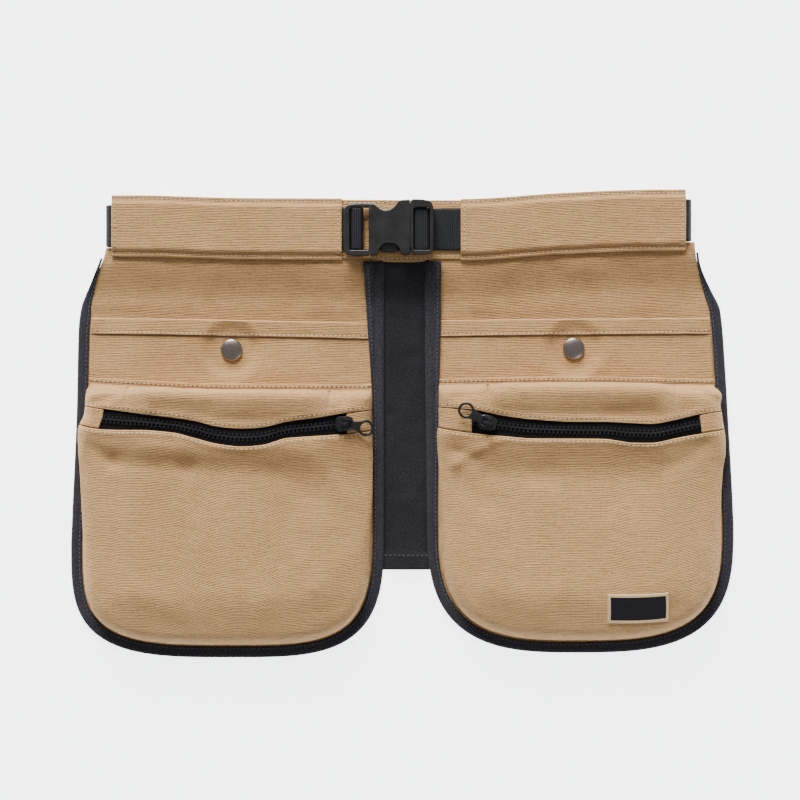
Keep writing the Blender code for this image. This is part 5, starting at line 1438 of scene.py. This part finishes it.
def softened(node, name, width, finish):
    # Merged copy of the solid with a rounded edge
    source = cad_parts[node]
    obj = bpy.data.objects.new(name, source.data.copy())
    bpy.context.scene.collection.objects.link(obj)
    work = bmesh.new()
    work.from_mesh(obj.data)
    bmesh.ops.remove_doubles(work, verts=work.verts, dist=0.00001)
    bmesh.ops.dissolve_limit(work, angle_limit=math.radians(1.5), verts=work.verts, edges=work.edges)
    work.to_mesh(obj.data)
    work.free()
    obj.data.shade_smooth()
    edge = obj.modifiers.new("SoftEdges", "BEVEL")
    edge.width, edge.segments, edge.limit_method = width * mm, 3, "ANGLE"
    edge.angle_limit = math.radians(28)
    evenNormals(obj)
    return dress(obj, finish, replaces=[node])


sliderEdge = 0.22  # radius of the sliders' rounded edges
for pouch in pouches:
    node, name = pouch["node"], pouch["name"]
    softened("zip_slider_" + node, "zipSlider" + name, sliderEdge, blackMetal)
    look = pullLook[name]
    axes = np.array([look["x"], look["y"], np.cross(look["x"], look["y"])]).T
    platePiece("zipPull" + name, [pullPlate(look["reach"])], blackMetal, "zip_pull_" + node,
               ["zip_pull_" + node], (axes, look["at"]))
for node in ("snap_stud_left", "snap_stud_right"):
    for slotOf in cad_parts[node].material_slots:
        slotOf.material = antiqueNickel
print("buckle, sliders and pulls ready")

# Stage, light and camera; lengths here are in metres, and a lamp is its place, size, power and
# colour
stageLook = {
    "floor": (0.90, 0.92, 0.945), "floorGlow": 3.9, "glow": (0.96, 0.985, 1.0), "floorHalf": 4,
    "world": (0.92, 0.96, 1.0), "worldStrength": 0.30,
    "cameraHeight": 1.6, "frameWidth": 0.576, "aim": (-0.0017, 0.0171), "sensor": 36.0,
    "lamps": {"windowLight": ((-1.4, 7.2, 2.95), 4.6, 1830.0, (1.0, 0.985, 0.96)),
              "roomFill": ((0.75, -0.80, 0.85), 0.5, 2.6, (0.97, 0.98, 1.0))},
}
far = stageLook["floorHalf"]
floorMesh = bpy.data.meshes.new("floor")
floorMesh.from_pydata([(-far, -far, 0), (far, -far, 0), (far, far, 0), (-far, far, 0)], [], [(0, 1, 2, 3)])
floor = bpy.data.objects.new("floor", floorMesh)
bpy.context.scene.collection.objects.link(floor)
paper = Finish("palePaper", 0.9, colour=stageLook["floor"],
               more={"Emission Color": (*stageLook["glow"], 1.0), "Emission Strength": stageLook["floorGlow"]})
floor.data.materials.append(paper.material)
floor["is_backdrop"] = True
world = bpy.data.worlds.new("studio")
world.use_nodes = True
world.node_tree.nodes["Background"].inputs[0].default_value = (*stageLook["world"], 1)
world.node_tree.nodes["Background"].inputs[1].default_value = stageLook["worldStrength"]
bpy.context.scene.world = world


def softLight(name, place, size, power, colour):  # a round lamp in metres that faces the origin
    lamp = bpy.data.lights.new(name, "AREA")
    lamp.shape, lamp.size, lamp.energy, lamp.color = "DISK", size, power, colour
    obj = bpy.data.objects.new(name, lamp)
    obj.location = place
    obj.rotation_euler = (-Vector(place)).to_track_quat("-Z", "Y").to_euler()
    bpy.context.scene.collection.objects.link(obj)


for name, look in stageLook["lamps"].items():
    softLight(name, *look)

lens = bpy.data.cameras.new("camera")
lens.sensor_width = stageLook["sensor"]
lens.lens = stageLook["sensor"] * stageLook["cameraHeight"] / stageLook["frameWidth"]
camera = bpy.data.objects.new("camera", lens)
camera.location = (*stageLook["aim"], stageLook["cameraHeight"])
bpy.context.scene.collection.objects.link(camera)
bpy.context.scene.camera = camera

sceneBox = [list(map(float, corner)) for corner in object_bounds()]
for label, box in (("solids", frameBox), ("scene", sceneBox)):
    print("size of the", label, [round((b - a) * 1000, 1) for a, b in zip(*box)])
